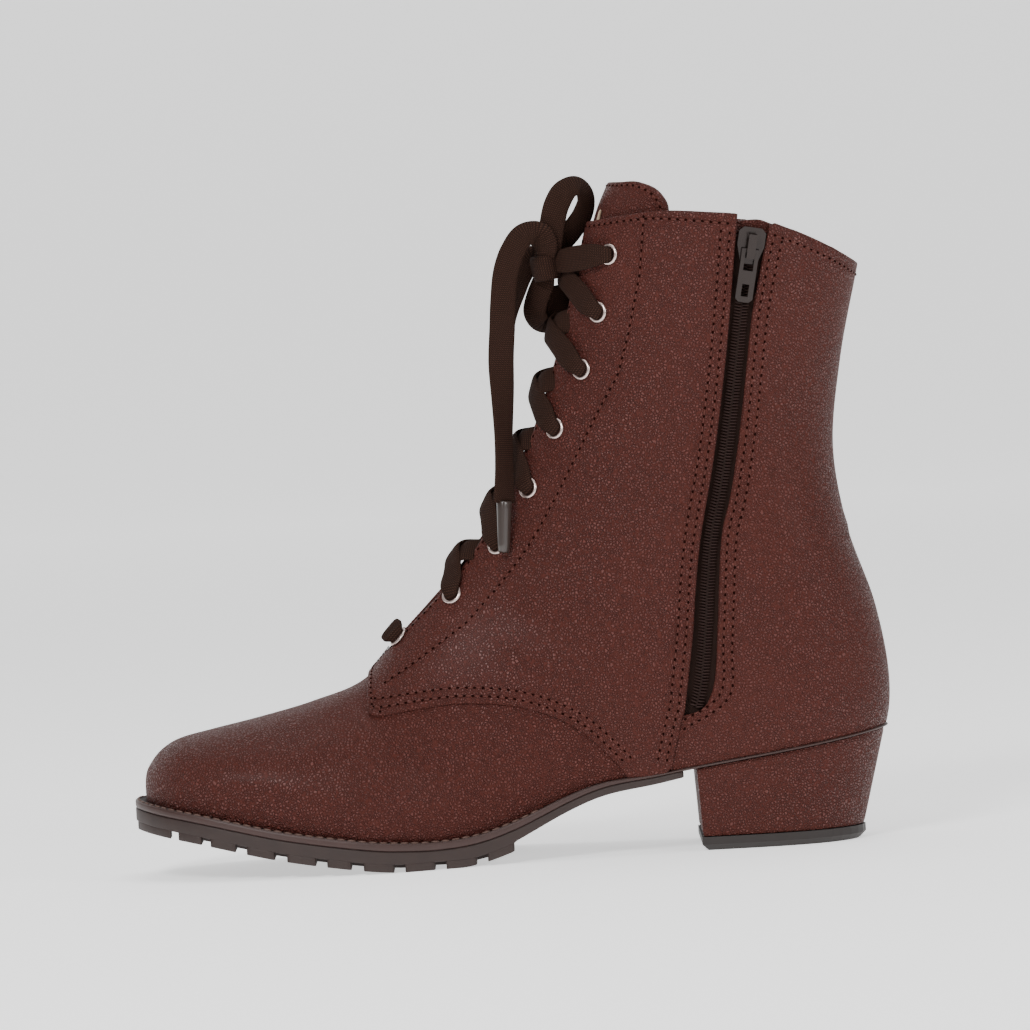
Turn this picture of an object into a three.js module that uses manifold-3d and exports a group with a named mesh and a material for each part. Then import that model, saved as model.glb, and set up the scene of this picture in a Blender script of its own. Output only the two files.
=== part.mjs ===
// Lace-up ankle boot for the right foot, with a zip on its inner side and a low block heel.
// Millimetres. X runs from the toe (-) to the heel (+), Y from the inner side (-) to the outer side (+), Z is up.
// The origin is the middle of the heel's resting face on the floor.

import * as THREE from 'three';
import { mergeVertices } from 'three/addons/utils/BufferGeometryUtils.js';
import Module from 'manifold-3d';

const wasm = await Module();
wasm.setup();

// Last: the form that the upper is drawn over
const LAST_LENGTH = 278; // toe tip to the fullest point of the heel
const LAST_HEIGHT = 225.6; // ball of the foot to the highest point of the collar
const BALL_WIDTH = 93;

// Leather
const WALL = 2.2; // vamp or quarter with its lining
const QUARTER_STEP = 1.3; // front quarters lie over the vamp
const CLEARANCE = 0.3; // between curved pieces that meet
const THROAT_GAP = 9; // between the facings at the bottom of the throat
const THROAT_GAP_TOP = 15;
const THROAT_SLOT_DEPTH = 9;
const TONGUE_THICKNESS = 1.8;
const INSOLE_THICKNESS = 3;
const INSOLE_GAP = 2; // between the flat insole and the leaning wall

// Sole
const WELT_THICKNESS = 3.3;
const WELT_REACH = 4.2; // how far the welt stands out past the upper
const OUTSOLE_THICKNESS = 4.3;
const LUG_DEPTH = 2.8;
const TREAD_FLAT = 0.5; // depth of the rocker that is flattened at the ball
const LUG_GAP = 4;
const LUG_REACH = 17; // how far the gaps between the side lugs run inwards
const SHANK_EDGE = 3.2; // thickness of welt and outsole together at the heel's front
const SEAT_THICKNESS = 1.2; // welt layer over the heel
const SOLE_DEPTH = WELT_THICKNESS + OUTSOLE_THICKNESS + LUG_DEPTH;

// Heel
const TOP_LIFT_THICKNESS = 5;
const TOP_LIFT_EDGE = 0.5; // how far the top lift stands out past the block
const TOP_LIFT_BEVEL = 2.2;
const HEEL_INSET = 0.8;
const HEEL_LENGTH = 58.6; // along the bottom of the block
const HEEL_BOTTOM_WIDTH = 54;
const HEEL_RAKE = 1.2; // how far the front of the block leans forwards at its top

// Eyelets and laces
const EYELET_RADIUS = 4;
const EYELET_HOLE_RADIUS = 2.7;
const EYELET_BARREL = 0.35; // wall of the barrel
const EYELET_FLANGE = 0.7;
const EYELET_SIDES = 8;
const LACE_WIDTH = 9.5;
const LACE_THICKNESS = 1.8;
const CROSSING_BULGE = 2.4; // how far a crossing stands up between the facings
const TOP_BAR_BULGE = 3.4;
const KNOT_SIZE = 10;
const AGLET_LENGTH = 19;
const AGLET_RADIUS = 2.2;

// Zip
const TAPE_THICKNESS = 0.9;
const TAPE_MARGIN = 7; // how far the tape runs past the slot
const TAPE_TOP = 0.95; // height of its top, a share of LAST_HEIGHT
const GUARD_THICKNESS = 1.4;
const GUARD_MARGIN = 9;
const GUARD_TOP = 1;
const BACKING_FOOT = 0.02; // how far tape and guard run below the slot
const BACKING_STEPS = 5;
const COIL_WIDTH = 5;
const COIL_HEIGHT = 1.5;
const COIL_STEPS = 9;
const SLIDER_PLACE = 0.936; // height of the slider's middle, a share of LAST_HEIGHT
const SLIDER_LENGTH = 13.5;
const SLIDER_WIDTH = 10;
const SLIDER_NOSE = 6; // width of the slider at its lower end
const SLIDER_THICKNESS = 2;
const CROWN_LENGTH = 9;
const CROWN_WIDTH = 3;
const CROWN_BAR = 1.3; // thickness of the crown's bar and posts
const PULL_LENGTH = 19; // from its hinge
const PULL_WIDTH = 6.4;
const PULL_THICKNESS = 1.4;
const PULL_WINDOW = 7.3; // from the hinge bar to the plate
const PULL_SLOT_LENGTH = 4.5;
const HINGE_PLAY = 0.45; // round the pull's hinge bar, inside the crown

// Mesh steps
const TOE_ROWS = 5; // rows of the table of sections that have one mesh row each
const ROW_STEPS = 2; // mesh rows for each later row of the table
const RING_STEPS = 20; // mesh columns round a section, a multiple of four
const SOLE_STEPS = 36; // mesh steps along the sole

// Sections of the last, from the toe tip to above the collar. Each is a cut from a point on the ridge,
// or the front of the shaft, to a point under the foot, or on the back of the shaft.
// Columns: ridge x and z, base x and z, half-width on the inner and outer side, height of the widest
// place as a share of the cut, bend of the lower and upper part (2 is an ellipse), and sway sideways.
// x is in shares of LAST_LENGTH, z of LAST_HEIGHT above the ball, widths and sway of BALL_WIDTH.
const SECTIONS = [
  [-0.844, 0.096, -0.844, 0.096, 0.000, 0.000, 0.50, 2.0, 2.0, -0.038],
  [-0.842, 0.123, -0.841, 0.062, 0.086, 0.086, 0.50, 2.2, 2.0, -0.038],
  [-0.835, 0.141, -0.833, 0.040, 0.153, 0.153, 0.50, 2.6, 2.0, -0.038],
  [-0.820, 0.162, -0.818, 0.029, 0.231, 0.231, 0.50, 3.0, 2.0, -0.037],
  [-0.795, 0.179, -0.793, 0.020, 0.312, 0.312, 0.50, 4.0, 2.0, -0.032],
  [-0.750, 0.191, -0.748, 0.012, 0.392, 0.392, 0.50, 5.0, 2.1, -0.024],
  [-0.683, 0.207, -0.676, -0.008, 0.458, 0.458, 0.46, 6.0, 2.0, -0.006],
  [-0.612, 0.228, -0.601, -0.028, 0.487, 0.492, 0.38, 6.0, 1.8, 0],
  [-0.543, 0.260, -0.514, -0.042, 0.482, 0.512, 0.31, 6.0, 1.6, 0],
  [-0.484, 0.336, -0.374, -0.031, 0.378, 0.452, 0.26, 6.0, 1.4, 0],
  [-0.424, 0.415, -0.219, 0.031, 0.314, 0.394, 0.26, 6.0, 1.35, 0],
  [-0.376, 0.488, -0.058, 0.049, 0.333, 0.370, 0.32, 7.0, 1.5, 0],
  [-0.345, 0.550, 0.043, 0.060, 0.344, 0.361, 0.38, 6.5, 1.7, 0],
  [-0.326, 0.597, 0.115, 0.082, 0.348, 0.357, 0.43, 4.5, 1.8, 0],
  [-0.309, 0.637, 0.148, 0.136, 0.349, 0.355, 0.45, 3.0, 1.9, 0],
  [-0.292, 0.685, 0.156, 0.220, 0.349, 0.352, 0.46, 2.5, 2.0, 0],
  [-0.274, 0.745, 0.142, 0.340, 0.344, 0.344, 0.47, 2.3, 2.0, 0],
  [-0.257, 0.809, 0.112, 0.464, 0.339, 0.339, 0.48, 2.2, 2.0, 0],
  [-0.241, 0.876, 0.098, 0.601, 0.340, 0.340, 0.49, 2.2, 2.05, 0],
  [-0.225, 0.945, 0.114, 0.743, 0.357, 0.357, 0.50, 2.2, 2.1, 0],
  [-0.208, 1.013, 0.142, 0.885, 0.383, 0.383, 0.50, 2.2, 2.1, 0],
  [-0.182, 1.078, 0.165, 1.018, 0.404, 0.404, 0.50, 2.2, 2.1, 0],
];
const LAST_ROW = SECTIONS.length - 1;
const THROAT_ROW = 8.3; // where the throat starts on the ridge

// Curves in the side view. Columns: x in shares of LAST_LENGTH, z in shares of LAST_HEIGHT above the ball.
const FEATHER = [
  [-0.900, 0.098], [-0.844, 0.082], [-0.766, 0.062], [-0.662, 0.031], [-0.558, 0.009], [-0.504, 0.002],
  [-0.453, 0.000], [-0.403, 0.006], [-0.353, 0.024], [-0.281, 0.060], [-0.230, 0.078], [-0.165, 0.086],
  [-0.101, 0.097], [0.043, 0.121], [0.200, 0.150],
];
const COLLAR_FRONT = [[-0.270, 0.980], [-0.215, 0.988], [-0.164, 0.996], [-0.119, 1.000], [-0.066, 0.995], [0.003, 0.985]];
const COLLAR_BACK = [[0.020, 0.975], [0.079, 0.944], [0.131, 0.908], [0.200, 0.850]];
const FACING_FRONT = [[-0.511, 0.312], [-0.532, 0.286], [-0.539, 0.250]];
const VAMP_SEAM = [
  [-0.539, 0.207], [-0.524, 0.203], [-0.469, 0.211], [-0.410, 0.215], [-0.335, 0.203], [-0.269, 0.168],
  [-0.223, 0.115], [-0.203, 0.081], [-0.187, 0.030],
];
const ZIP_FRONT = [
  [-0.122, 0.180], [-0.114, 0.242], [-0.105, 0.312], [-0.097, 0.396], [-0.087, 0.473], [-0.065, 0.594],
  [-0.045, 0.733], [-0.032, 0.844], [-0.017, 0.987],
];
const SEAM_UNDER_ZIP = [[-0.152, 0.030], [-0.140, 0.105], [-0.126, 0.171]];
const ZIP_BACK = [
  [0.026, 0.972], [0.009, 0.894], [-0.005, 0.817], [-0.025, 0.660], [-0.044, 0.541], [-0.060, 0.471],
  [-0.067, 0.394], [-0.073, 0.310], [-0.080, 0.233], [-0.092, 0.193],
];
const TONGUE_EDGE = [
  [-0.576, 0.220], [-0.525, 0.211], [-0.460, 0.255], [-0.367, 0.362], [-0.273, 0.530], [-0.194, 0.707],
  [-0.144, 0.863], [-0.112, 0.985], [-0.122, 1.031], [-0.151, 1.053], [-0.173, 1.056],
];
const EYELET_PLACES = [
  [-0.492, 0.321], [-0.419, 0.389], [-0.355, 0.468], [-0.309, 0.558],
  [-0.269, 0.653], [-0.230, 0.748], [-0.204, 0.840], [-0.185, 0.933],
];
const ABOVE = 0.2; // share of LAST_HEIGHT that a cutting outline reaches past the model
const BEYOND = 0.3; // share of LAST_LENGTH that a cutting outline reaches past the model

// Materials, with the colours of the boot
const paint = (color, roughness, metalness = 0) => new THREE.MeshStandardMaterial({ color, roughness, metalness });
const LEATHER = paint(0x5a322b, 0.5);
const LACE = paint(0x3a2b25, 0.9);
const WELT = paint(0x43342d, 0.7);
const RUBBER = paint(0x332620, 0.75);
const TOP_LIFT = paint(0x1f1917, 0.7);
const TAPE = paint(0x2e1e1a, 0.9);
const ZIP_PLASTIC = paint(0x2a1c18, 0.5);
const ZIP_METAL = paint(0x2b1e1a, 0.3, 0.6);
const EYELET_METAL = paint(0xb9a39c, 0.3, 1);
const AGLET = paint(0x6a5a52, 0.35);
const LINING = paint(0xb59a80, 0.9);

const boot = new THREE.Group();

function add(name, geometry, material) {
  const mesh = new THREE.Mesh(geometry, material);
  mesh.name = name;
  boot.add(mesh);
  return mesh;
}

// Solids

function toSolid(geometry) {
  const bare = geometry.clone();
  bare.deleteAttribute('normal');
  bare.deleteAttribute('uv');
  const merged = mergeVertices(bare, 1e-4);
  const mesh = new wasm.Mesh({
    numProp: 3,
    vertProperties: new Float32Array(merged.attributes.position.array),
    triVerts: new Uint32Array(merged.index.array),
  });
  return new wasm.Manifold(mesh);
}

function toGeometry(solid) {
  const mesh = solid.getMesh();
  const geometry = new THREE.BufferGeometry();
  geometry.setAttribute('position', new THREE.BufferAttribute(new Float32Array(mesh.vertProperties), 3));
  geometry.setIndex(Array.from(mesh.triVerts));
  geometry.computeVertexNormals();
  return geometry;
}

function geometryOf(points, triangles) {
  const geometry = new THREE.BufferGeometry().setFromPoints(points);
  geometry.setIndex(triangles);
  return geometry;
}

// A closed body through rings of points, each ring ordered the same way, with flat or pointed ends.
function loft(rings, flip = false) {
  const points = rings.flat();
  const count = rings[0].length;
  const triangles = [];
  const face = (a, b, c) => triangles.push(...(flip ? [a, c, b] : [a, b, c]));
  for (let row = 0; row + 1 < rings.length; row += 1) {
    for (let i = 0; i < count; i += 1) {
      const j = (i + 1) % count;
      const a = row * count;
      face(a + i, a + j, a + count + j);
      face(a + i, a + count + j, a + count + i);
    }
  }
  const last = (rings.length - 1) * count;
  for (let i = 1; i + 1 < count; i += 1) {
    face(0, i + 1, i);
    face(last, last + i, last + i + 1);
  }
  return geometryOf(points, triangles);
}

function box(xSize, ySize, zSize, x, y, z) {
  return new THREE.BoxGeometry(xSize, ySize, zSize).translate(x, y, z);
}

// Side view

const sideX = (share) => share * LAST_LENGTH;
const sideZ = (share) => SOLE_DEPTH + share * LAST_HEIGHT;

function smoothPath(rows, steps = 3) {
  const curve = new THREE.SplineCurve(rows.map(([x, z]) => new THREE.Vector2(sideX(x), sideZ(z))));
  return curve.getPoints(steps * (rows.length - 1));
}

const straightPath = (rows) => rows.map(([x, z]) => new THREE.Vector2(sideX(x), sideZ(z)));

// A plate with this outline in the side view, from one y to another.
function sidePlate(outline, yFrom, yTo) {
  const shape = new THREE.Shape(outline);
  const plate = new THREE.ExtrudeGeometry(shape, { depth: yTo - yFrom, bevelEnabled: false, steps: 1 });
  plate.rotateX(Math.PI / 2);
  plate.translate(0, yTo, 0);
  return toSolid(plate);
}

function heightOn(rows, x) {
  const share = x / LAST_LENGTH;
  let i = 0;
  while (i < rows.length - 2 && rows[i + 1][0] < share) i += 1;
  const slope = (k) => {
    const low = Math.max(k - 1, 0);
    const high = Math.min(k + 1, rows.length - 1);
    return (rows[high][1] - rows[low][1]) / (rows[high][0] - rows[low][0]);
  };
  const width = rows[i + 1][0] - rows[i][0];
  const t = THREE.MathUtils.clamp((share - rows[i][0]) / width, 0, 1);
  const h00 = 2 * t ** 3 - 3 * t ** 2 + 1;
  const h10 = t ** 3 - 2 * t ** 2 + t;
  const h01 = 3 * t ** 2 - 2 * t ** 3;
  const h11 = t ** 3 - t ** 2;
  const z = h00 * rows[i][1] + h10 * width * slope(i) + h01 * rows[i + 1][1] + h11 * width * slope(i + 1);
  return sideZ(z);
}

const featherZ = (x) => heightOn(FEATHER, x);

// Last surface

function section(s) {
  const i = Math.min(Math.floor(s), LAST_ROW - 1);
  const t = s - i;
  const at = (k) => SECTIONS[THREE.MathUtils.clamp(k, 0, LAST_ROW)];
  const [a, b, c, d] = [at(i - 1), at(i), at(i + 1), at(i + 2)];
  return b.map((_, k) => 0.5 * (2 * b[k] + (c[k] - a[k]) * t
    + (2 * a[k] - 5 * b[k] + 4 * c[k] - d[k]) * t ** 2
    + (3 * b[k] - a[k] - 3 * c[k] + d[k]) * t ** 3));
}

// One quarter of a section: 0 at its widest place, 1 at its end. Gives the share across and along.
function quarter(v, bend) {
  const aim = v * Math.PI / 2;
  let low = 0;
  let high = Math.PI / 2;
  for (let i = 0; i < 24; i += 1) {
    const angle = (low + high) / 2;
    if (Math.atan2(Math.sin(angle) ** (2 / bend), Math.cos(angle)) < aim) low = angle;
    else high = angle;
  }
  const angle = (low + high) / 2;
  return v >= 1 ? [0, 1] : [Math.cos(angle), Math.sin(angle) ** (2 / bend)];
}

// u runs round the section: 0 at the base, 0.25 the inner side, 0.5 the ridge, 0.75 the outer side.
function lastPoint(s, u) {
  const [ridgeX, ridgeZ, baseX, baseZ, inner, outer, widest, lowBend, highBend, sway] = section(s);
  const turn = ((u % 1) + 1) % 1;
  const side = turn < 0.5 ? -1 : 1;
  const fromBase = side < 0 ? turn * 4 : (1 - turn) * 4;
  const halfWidth = Math.max(side < 0 ? inner : outer, 0);
  const low = fromBase < 1;
  const [across, along] = quarter(low ? 1 - fromBase : fromBase - 1, low ? lowBend : highBend);
  const share = low ? widest * (1 - along) : widest + (1 - widest) * along;
  return new THREE.Vector3(
    sideX(baseX + (ridgeX - baseX) * share),
    (sway + side * halfWidth * across) * BALL_WIDTH,
    sideZ(baseZ + (ridgeZ - baseZ) * share),
  );
}

function lastNormal(s, u) {
  if (s < 1e-6) return new THREE.Vector3(-1, 0, 0);
  const step = 0.01;
  const along = lastPoint(Math.min(s + step, LAST_ROW), u).sub(lastPoint(Math.max(s - step, 0), u));
  const round = lastPoint(s, u + step / 2).sub(lastPoint(s, u - step / 2));
  return along.cross(round).normalize();
}

const offsetPoint = (s, u, offset) => lastPoint(s, u).addScaledVector(lastNormal(s, u), offset);

// The closed wall between two offsets of the last, open above.
function lastWall(outside, inside) {
  const rows = TOE_ROWS + (LAST_ROW - TOE_ROWS) * ROW_STEPS;
  const tableRow = (row) => (row < TOE_ROWS ? row : TOE_ROWS + (row - TOE_ROWS) / ROW_STEPS);
  const layerSize = 1 + rows * RING_STEPS;
  const points = [];
  const triangles = [];
  const index = (layer, row, i) => layer * layerSize + (row ? 1 + (row - 1) * RING_STEPS + (i % RING_STEPS) : 0);
  for (const offset of [outside, inside]) {
    points.push(offsetPoint(0, 0, offset));
    for (let row = 1; row <= rows; row += 1) {
      for (let i = 0; i < RING_STEPS; i += 1) points.push(offsetPoint(tableRow(row), i / RING_STEPS, offset));
    }
  }
  for (const layer of [0, 1]) {
    const face = (a, b, c) => triangles.push(...(layer ? [a, c, b] : [a, b, c]));
    for (let i = 0; i < RING_STEPS; i += 1) {
      face(index(layer, 0, 0), index(layer, 1, i), index(layer, 1, i + 1));
      for (let row = 1; row < rows; row += 1) {
        face(index(layer, row, i), index(layer, row + 1, i), index(layer, row + 1, i + 1));
        face(index(layer, row, i), index(layer, row + 1, i + 1), index(layer, row, i + 1));
      }
    }
  }
  for (let i = 0; i < RING_STEPS; i += 1) {
    triangles.push(index(0, rows, i), index(1, rows, i), index(1, rows, i + 1));
    triangles.push(index(0, rows, i), index(1, rows, i + 1), index(0, rows, i + 1));
  }
  return toSolid(geometryOf(points, triangles));
}

// Where the offset surface passes a place in the side view, on the inner (-1) or outer (1) side.
function placeOnSide(x, z, side, offset) {
  let best = { miss: Infinity };
  const missAt = (s, u) => {
    const p = offsetPoint(s, u, offset);
    return { s, u, p, miss: Math.hypot(p.x - x, p.z - z) };
  };
  const middle = side < 0 ? 0.25 : 0.75;
  let reachS = LAST_ROW / 2;
  let reachU = 0.24;
  let centre = { s: LAST_ROW / 2, u: middle };
  for (let round = 0; round < 14; round += 1) {
    for (let i = -4; i <= 4; i += 1) {
      for (let j = -4; j <= 4; j += 1) {
        const s = THREE.MathUtils.clamp(centre.s + i * reachS / 4, 0.02, LAST_ROW);
        const u = THREE.MathUtils.clamp(centre.u + j * reachU / 4, middle - 0.248, middle + 0.248);
        const trial = missAt(s, u);
        if (trial.miss < best.miss) best = trial;
      }
    }
    centre = best;
    reachS /= 2;
    reachU /= 2;
  }
  return { point: best.p, normal: lastNormal(best.s, best.u), s: best.s, u: best.u };
}

// Plan outline of the feather edge, from the toe tip round the outer side to the heel and back.
function featherOutline() {
  const crossing = (s, side) => {
    let low = 0;
    let high = 0.5;
    for (let i = 0; i < 30; i += 1) {
      const turn = (low + high) / 2;
      const p = lastPoint(s, side < 0 ? turn : 1 - turn);
      if (p.z < featherZ(p.x)) low = turn;
      else high = turn;
    }
    return lastPoint(s, side < 0 ? low : 1 - low);
  };
  const under = (s) => lastPoint(s, 0).z < featherZ(lastPoint(s, 0).x);
  const edgeRow = (inside, outside) => {
    let a = inside;
    let b = outside;
    for (let i = 0; i < 30; i += 1) {
      if (under((a + b) / 2)) a = (a + b) / 2;
      else b = (a + b) / 2;
    }
    return a;
  };
  const first = edgeRow(1, 0);
  const last = edgeRow(12, 16);
  const baseX = (s) => lastPoint(s, 0).x;
  const rowAt = (x) => {
    let a = first;
    let b = last;
    for (let i = 0; i < 30; i += 1) {
      if (baseX((a + b) / 2) < x) a = (a + b) / 2;
      else b = (a + b) / 2;
    }
    return a;
  };
  const rows = [];
  for (let i = 1; i < SOLE_STEPS; i += 1) {
    const t = i / SOLE_STEPS;
    rows.push(rowAt(THREE.MathUtils.lerp(baseX(first), baseX(last), t - 0.15 * Math.sin(2 * Math.PI * t))));
  }
  const toPlan = (p) => new THREE.Vector2(p.x, p.y);
  return {
    toe: toPlan(lastPoint(first, 0)),
    outer: rows.map((s) => toPlan(crossing(s, 1))),
    inner: rows.map((s) => toPlan(crossing(s, -1))),
    heel: toPlan(lastPoint(last, 0)),
  };
}

const FOOTPRINT = featherOutline();

// The footprint moved outwards by reach(point), as pairs of outer and inner points with single ends.
function grownFootprint(reach) {
  const { toe, outer, inner, heel } = FOOTPRINT;
  const loop = [toe, ...outer, heel, ...inner.slice().reverse()];
  const grown = loop.map((p, i) => {
    const before = loop[(i + loop.length - 1) % loop.length];
    const after = loop[(i + 1) % loop.length];
    const way = after.clone().sub(before).normalize();
    return p.clone().add(new THREE.Vector2(-way.y, way.x).multiplyScalar(reach(p)));
  });
  const count = outer.length;
  return {
    toe: grown[0],
    outer: grown.slice(1, count + 1),
    heel: grown[count + 1],
    inner: grown.slice(count + 2).reverse(),
  };
}

// A layer of the sole: a footprint between two heights that follow x.
function soleLayer(plan, topZ, bottomZ) {
  const pairs = plan.outer.length;
  const flat = [plan.toe, ...plan.outer, plan.heel, ...plan.inner.slice().reverse()];
  const count = flat.length;
  const points = [
    ...flat.map((p) => new THREE.Vector3(p.x, p.y, topZ(p.x))),
    ...flat.map((p) => new THREE.Vector3(p.x, p.y, bottomZ(p.x))),
  ];
  const triangles = [];
  const face = (p, q, r) => triangles.push(p, q, r, p + count, r + count, q + count);
  const outer = (i) => i + 1;
  const inner = (i) => count - 1 - i;
  face(0, inner(0), outer(0));
  for (let i = 0; i + 1 < pairs; i += 1) {
    face(inner(i), inner(i + 1), outer(i + 1));
    face(inner(i), outer(i + 1), outer(i));
  }
  face(inner(pairs - 1), pairs + 1, outer(pairs - 1));
  for (let i = 0; i < count; i += 1) {
    const j = (i + 1) % count;
    triangles.push(i, j, j + count, i, j + count, i + count);
  }
  return geometryOf(points, triangles);
}

// Upper

function throatHalfGap(s) {
  const share = (s - THROAT_ROW) / (LAST_ROW - THROAT_ROW);
  return (THROAT_GAP + (THROAT_GAP_TOP - THROAT_GAP) * share) / 2;
}

// The body that opens the throat: a bar along the ridge.
function throatBar() {
  const rings = [];
  for (let s = THROAT_ROW; s <= LAST_ROW; s += 0.5) {
    const ridge = lastPoint(s, 0.5);
    const out = lastNormal(s, 0.5);
    const half = throatHalfGap(s);
    const corner = (y, height) => ridge.clone().addScaledVector(out, height).setY(y);
    rings.push([
      corner(-half, -THROAT_SLOT_DEPTH), corner(half, -THROAT_SLOT_DEPTH),
      corner(half, THROAT_SLOT_DEPTH), corner(-half, THROAT_SLOT_DEPTH),
    ]);
  }
  return toSolid(loft(rings));
}

const BIG = 2 * BALL_WIDTH;
const corners = (...rows) => straightPath(rows);

function frontQuarterOutline() {
  return [
    ...smoothPath(VAMP_SEAM),
    ...smoothPath(SEAM_UNDER_ZIP),
    ...smoothPath(ZIP_FRONT).slice(1),
    ...corners([0.02, 1 + ABOVE], [-0.3, 1 + ABOVE], [-0.55, 0.5]),
    ...smoothPath(FACING_FRONT),
  ];
}

function zipSlotOutline() {
  return [
    ...smoothPath(ZIP_FRONT),
    ...corners([-0.016, 1 + ABOVE], [0.03, 1 + ABOVE]),
    ...smoothPath(ZIP_BACK),
  ];
}

function underFoot(gap) {
  const path = [];
  for (let i = 0; i <= 2 * SOLE_STEPS; i += 1) {
    const x = LAST_LENGTH * THREE.MathUtils.lerp(-0.9, 0.2, i / (2 * SOLE_STEPS));
    path.push(new THREE.Vector2(x, featherZ(x) + gap));
  }
  return sidePlate([...path, ...corners([BEYOND, -ABOVE], [-1 - BEYOND, -ABOVE])], -BIG, BIG);
}

function overCollar() {
  return sidePlate([
    ...corners([-BEYOND, 1 + ABOVE]),
    ...smoothPath(COLLAR_FRONT),
    ...smoothPath(COLLAR_BACK),
    ...corners([BEYOND, 1 + ABOVE]),
  ], -BIG, BIG);
}

// Turns a piece built round its own axes so that its z axis is a surface's normal.
function seat(geometry, place, up = new THREE.Vector3(0, 0, 1)) {
  const z = place.normal.clone();
  const y = up.clone().addScaledVector(z, -up.dot(z)).normalize();
  const x = y.clone().cross(z);
  geometry.applyMatrix4(new THREE.Matrix4().makeBasis(x, y, z).setPosition(place.point));
  return geometry;
}

function eyeletPlaces(side) {
  return EYELET_PLACES.map(([x, z]) => placeOnSide(sideX(x), sideZ(z), side, QUARTER_STEP));
}

function upper() {
  const base = lastWall(0, -WALL);
  const quarters = lastWall(QUARTER_STEP, -WALL / 2).intersect(sidePlate(frontQuarterOutline(), -BIG, BIG));
  let solid = base.add(quarters);
  solid = solid.subtract(underFoot(0)).subtract(overCollar()).subtract(throatBar());
  solid = solid.subtract(sidePlate(zipSlotOutline(), -BIG, 0));
  const radius = EYELET_HOLE_RADIUS + EYELET_BARREL + CLEARANCE;
  const depth = 2 * (WALL + QUARTER_STEP) + 4;
  for (const place of [...eyeletPlaces(-1), ...eyeletPlaces(1)]) {
    const drill = new THREE.CylinderGeometry(radius, radius, depth, 10).rotateX(Math.PI / 2);
    solid = solid.subtract(toSolid(seat(drill, place)));
  }
  return toGeometry(solid);
}

function tongue() {
  const outside = -(WALL + CLEARANCE);
  const outline = [...smoothPath(TONGUE_EDGE), ...corners([-0.3, 1.06], [-0.6, 0.5])];
  const front = sidePlate(outline, -BIG, BIG);
  return toGeometry(lastWall(outside, outside - TONGUE_THICKNESS).intersect(front));
}

// Sole

function soleBottom(x) {
  const rocker = featherZ(x) - SOLE_DEPTH;
  return Math.max(0, rocker - TREAD_FLAT);
}

const HEEL_FRONT = -HEEL_LENGTH / 2; // front of the heel at the floor
const BALL_BACK = -0.356 * LAST_LENGTH; // where the lugs end

// The welt thins from the ball to the layer over the heel.
function weltBottom(x) {
  const share = THREE.MathUtils.smoothstep(x, BALL_BACK, HEEL_FRONT);
  return featherZ(x) - THREE.MathUtils.lerp(WELT_THICKNESS, SEAT_THICKNESS, share);
}

function outsoleBottom(x) {
  const share = THREE.MathUtils.clamp((x - BALL_BACK) / (HEEL_FRONT - BALL_BACK), 0, 1);
  const depth = THREE.MathUtils.lerp(WELT_THICKNESS + OUTSOLE_THICKNESS, SHANK_EDGE, share ** 0.8);
  return featherZ(x) - depth;
}

function weltReach(p) {
  const share = THREE.MathUtils.smoothstep(p.x, BALL_BACK, HEEL_FRONT);
  return THREE.MathUtils.lerp(WELT_REACH, 0.6, share);
}

function weltLayer() {
  return soleLayer(grownFootprint(weltReach), (x) => featherZ(x) - CLEARANCE, weltBottom);
}

function outsole() {
  const plan = grownFootprint(weltReach);
  const top = (x) => weltBottom(x) - CLEARANCE;
  let solid = toSolid(soleLayer(plan, top, (x) => Math.min(soleBottom(x), top(x) - 1)));
  const tall = 2 * LAST_HEIGHT;
  const shankPath = [];
  const end = HEEL_FRONT - HEEL_RAKE - CLEARANCE;
  for (let i = 0; i <= SOLE_STEPS / 2; i += 1) {
    const x = THREE.MathUtils.lerp(BALL_BACK, end, 2 * i / SOLE_STEPS);
    shankPath.push(new THREE.Vector2(x, outsoleBottom(x)));
  }
  const shank = [...shankPath, new THREE.Vector2(end, -tall), new THREE.Vector2(BALL_BACK, -tall)];
  solid = solid.subtract(sidePlate(shank, -BIG, BIG));
  solid = solid.subtract(toSolid(box(LAST_LENGTH, BIG * 2, tall, end + LAST_LENGTH / 2, 0, 0)));
  for (const [x, share] of LUG_GAPS) {
    const place = x * LAST_LENGTH;
    const floor = Math.max(soleBottom(place), 0) + LUG_DEPTH;
    const wide = LUG_GAP * share;
    for (const side of [-1, 1]) {
      const edge = edgeAt(plan, place, side);
      const from = edge - side * LUG_REACH;
      const cut = box(wide, BIG, tall, place, from + side * BIG / 2, floor - tall / 2);
      solid = solid.subtract(toSolid(cut));
    }
    const middle = (edgeAt(plan, place + LUG_GAP * 2, -1) + edgeAt(plan, place + LUG_GAP * 2, 1)) / 2;
    const half = (edgeAt(plan, place, 1) - edgeAt(plan, place, -1)) / 2 - LUG_REACH - LUG_GAP;
    if (half > LUG_GAP) {
      const bar = box(wide, 2 * half, tall, place + 7, middle, floor - tall / 2);
      solid = solid.subtract(toSolid(bar));
    }
  }
  return toGeometry(solid);
}

// Gaps between the lugs. Columns: x in shares of LAST_LENGTH, width in shares of LUG_GAP.
const LUG_GAPS = [
  [-0.803, 0.7], [-0.761, 0.8], [-0.715, 1], [-0.663, 1.1], [-0.610, 1], [-0.563, 1.1],
  [-0.508, 1], [-0.454, 1], [-0.399, 1],
];

function edgeAt(plan, x, side) {
  const points = side < 0 ? plan.inner : plan.outer;
  let i = 0;
  while (i < points.length - 2 && points[i + 1].x < x) i += 1;
  const t = (x - points[i].x) / (points[i + 1].x - points[i].x);
  return THREE.MathUtils.lerp(points[i].y, points[i + 1].y, THREE.MathUtils.clamp(t, 0, 1));
}

function insole() {
  const inset = () => -(WALL + INSOLE_GAP);
  return soleLayer(grownFootprint(inset), (x) => featherZ(x) + INSOLE_THICKNESS, (x) => featherZ(x));
}

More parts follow.
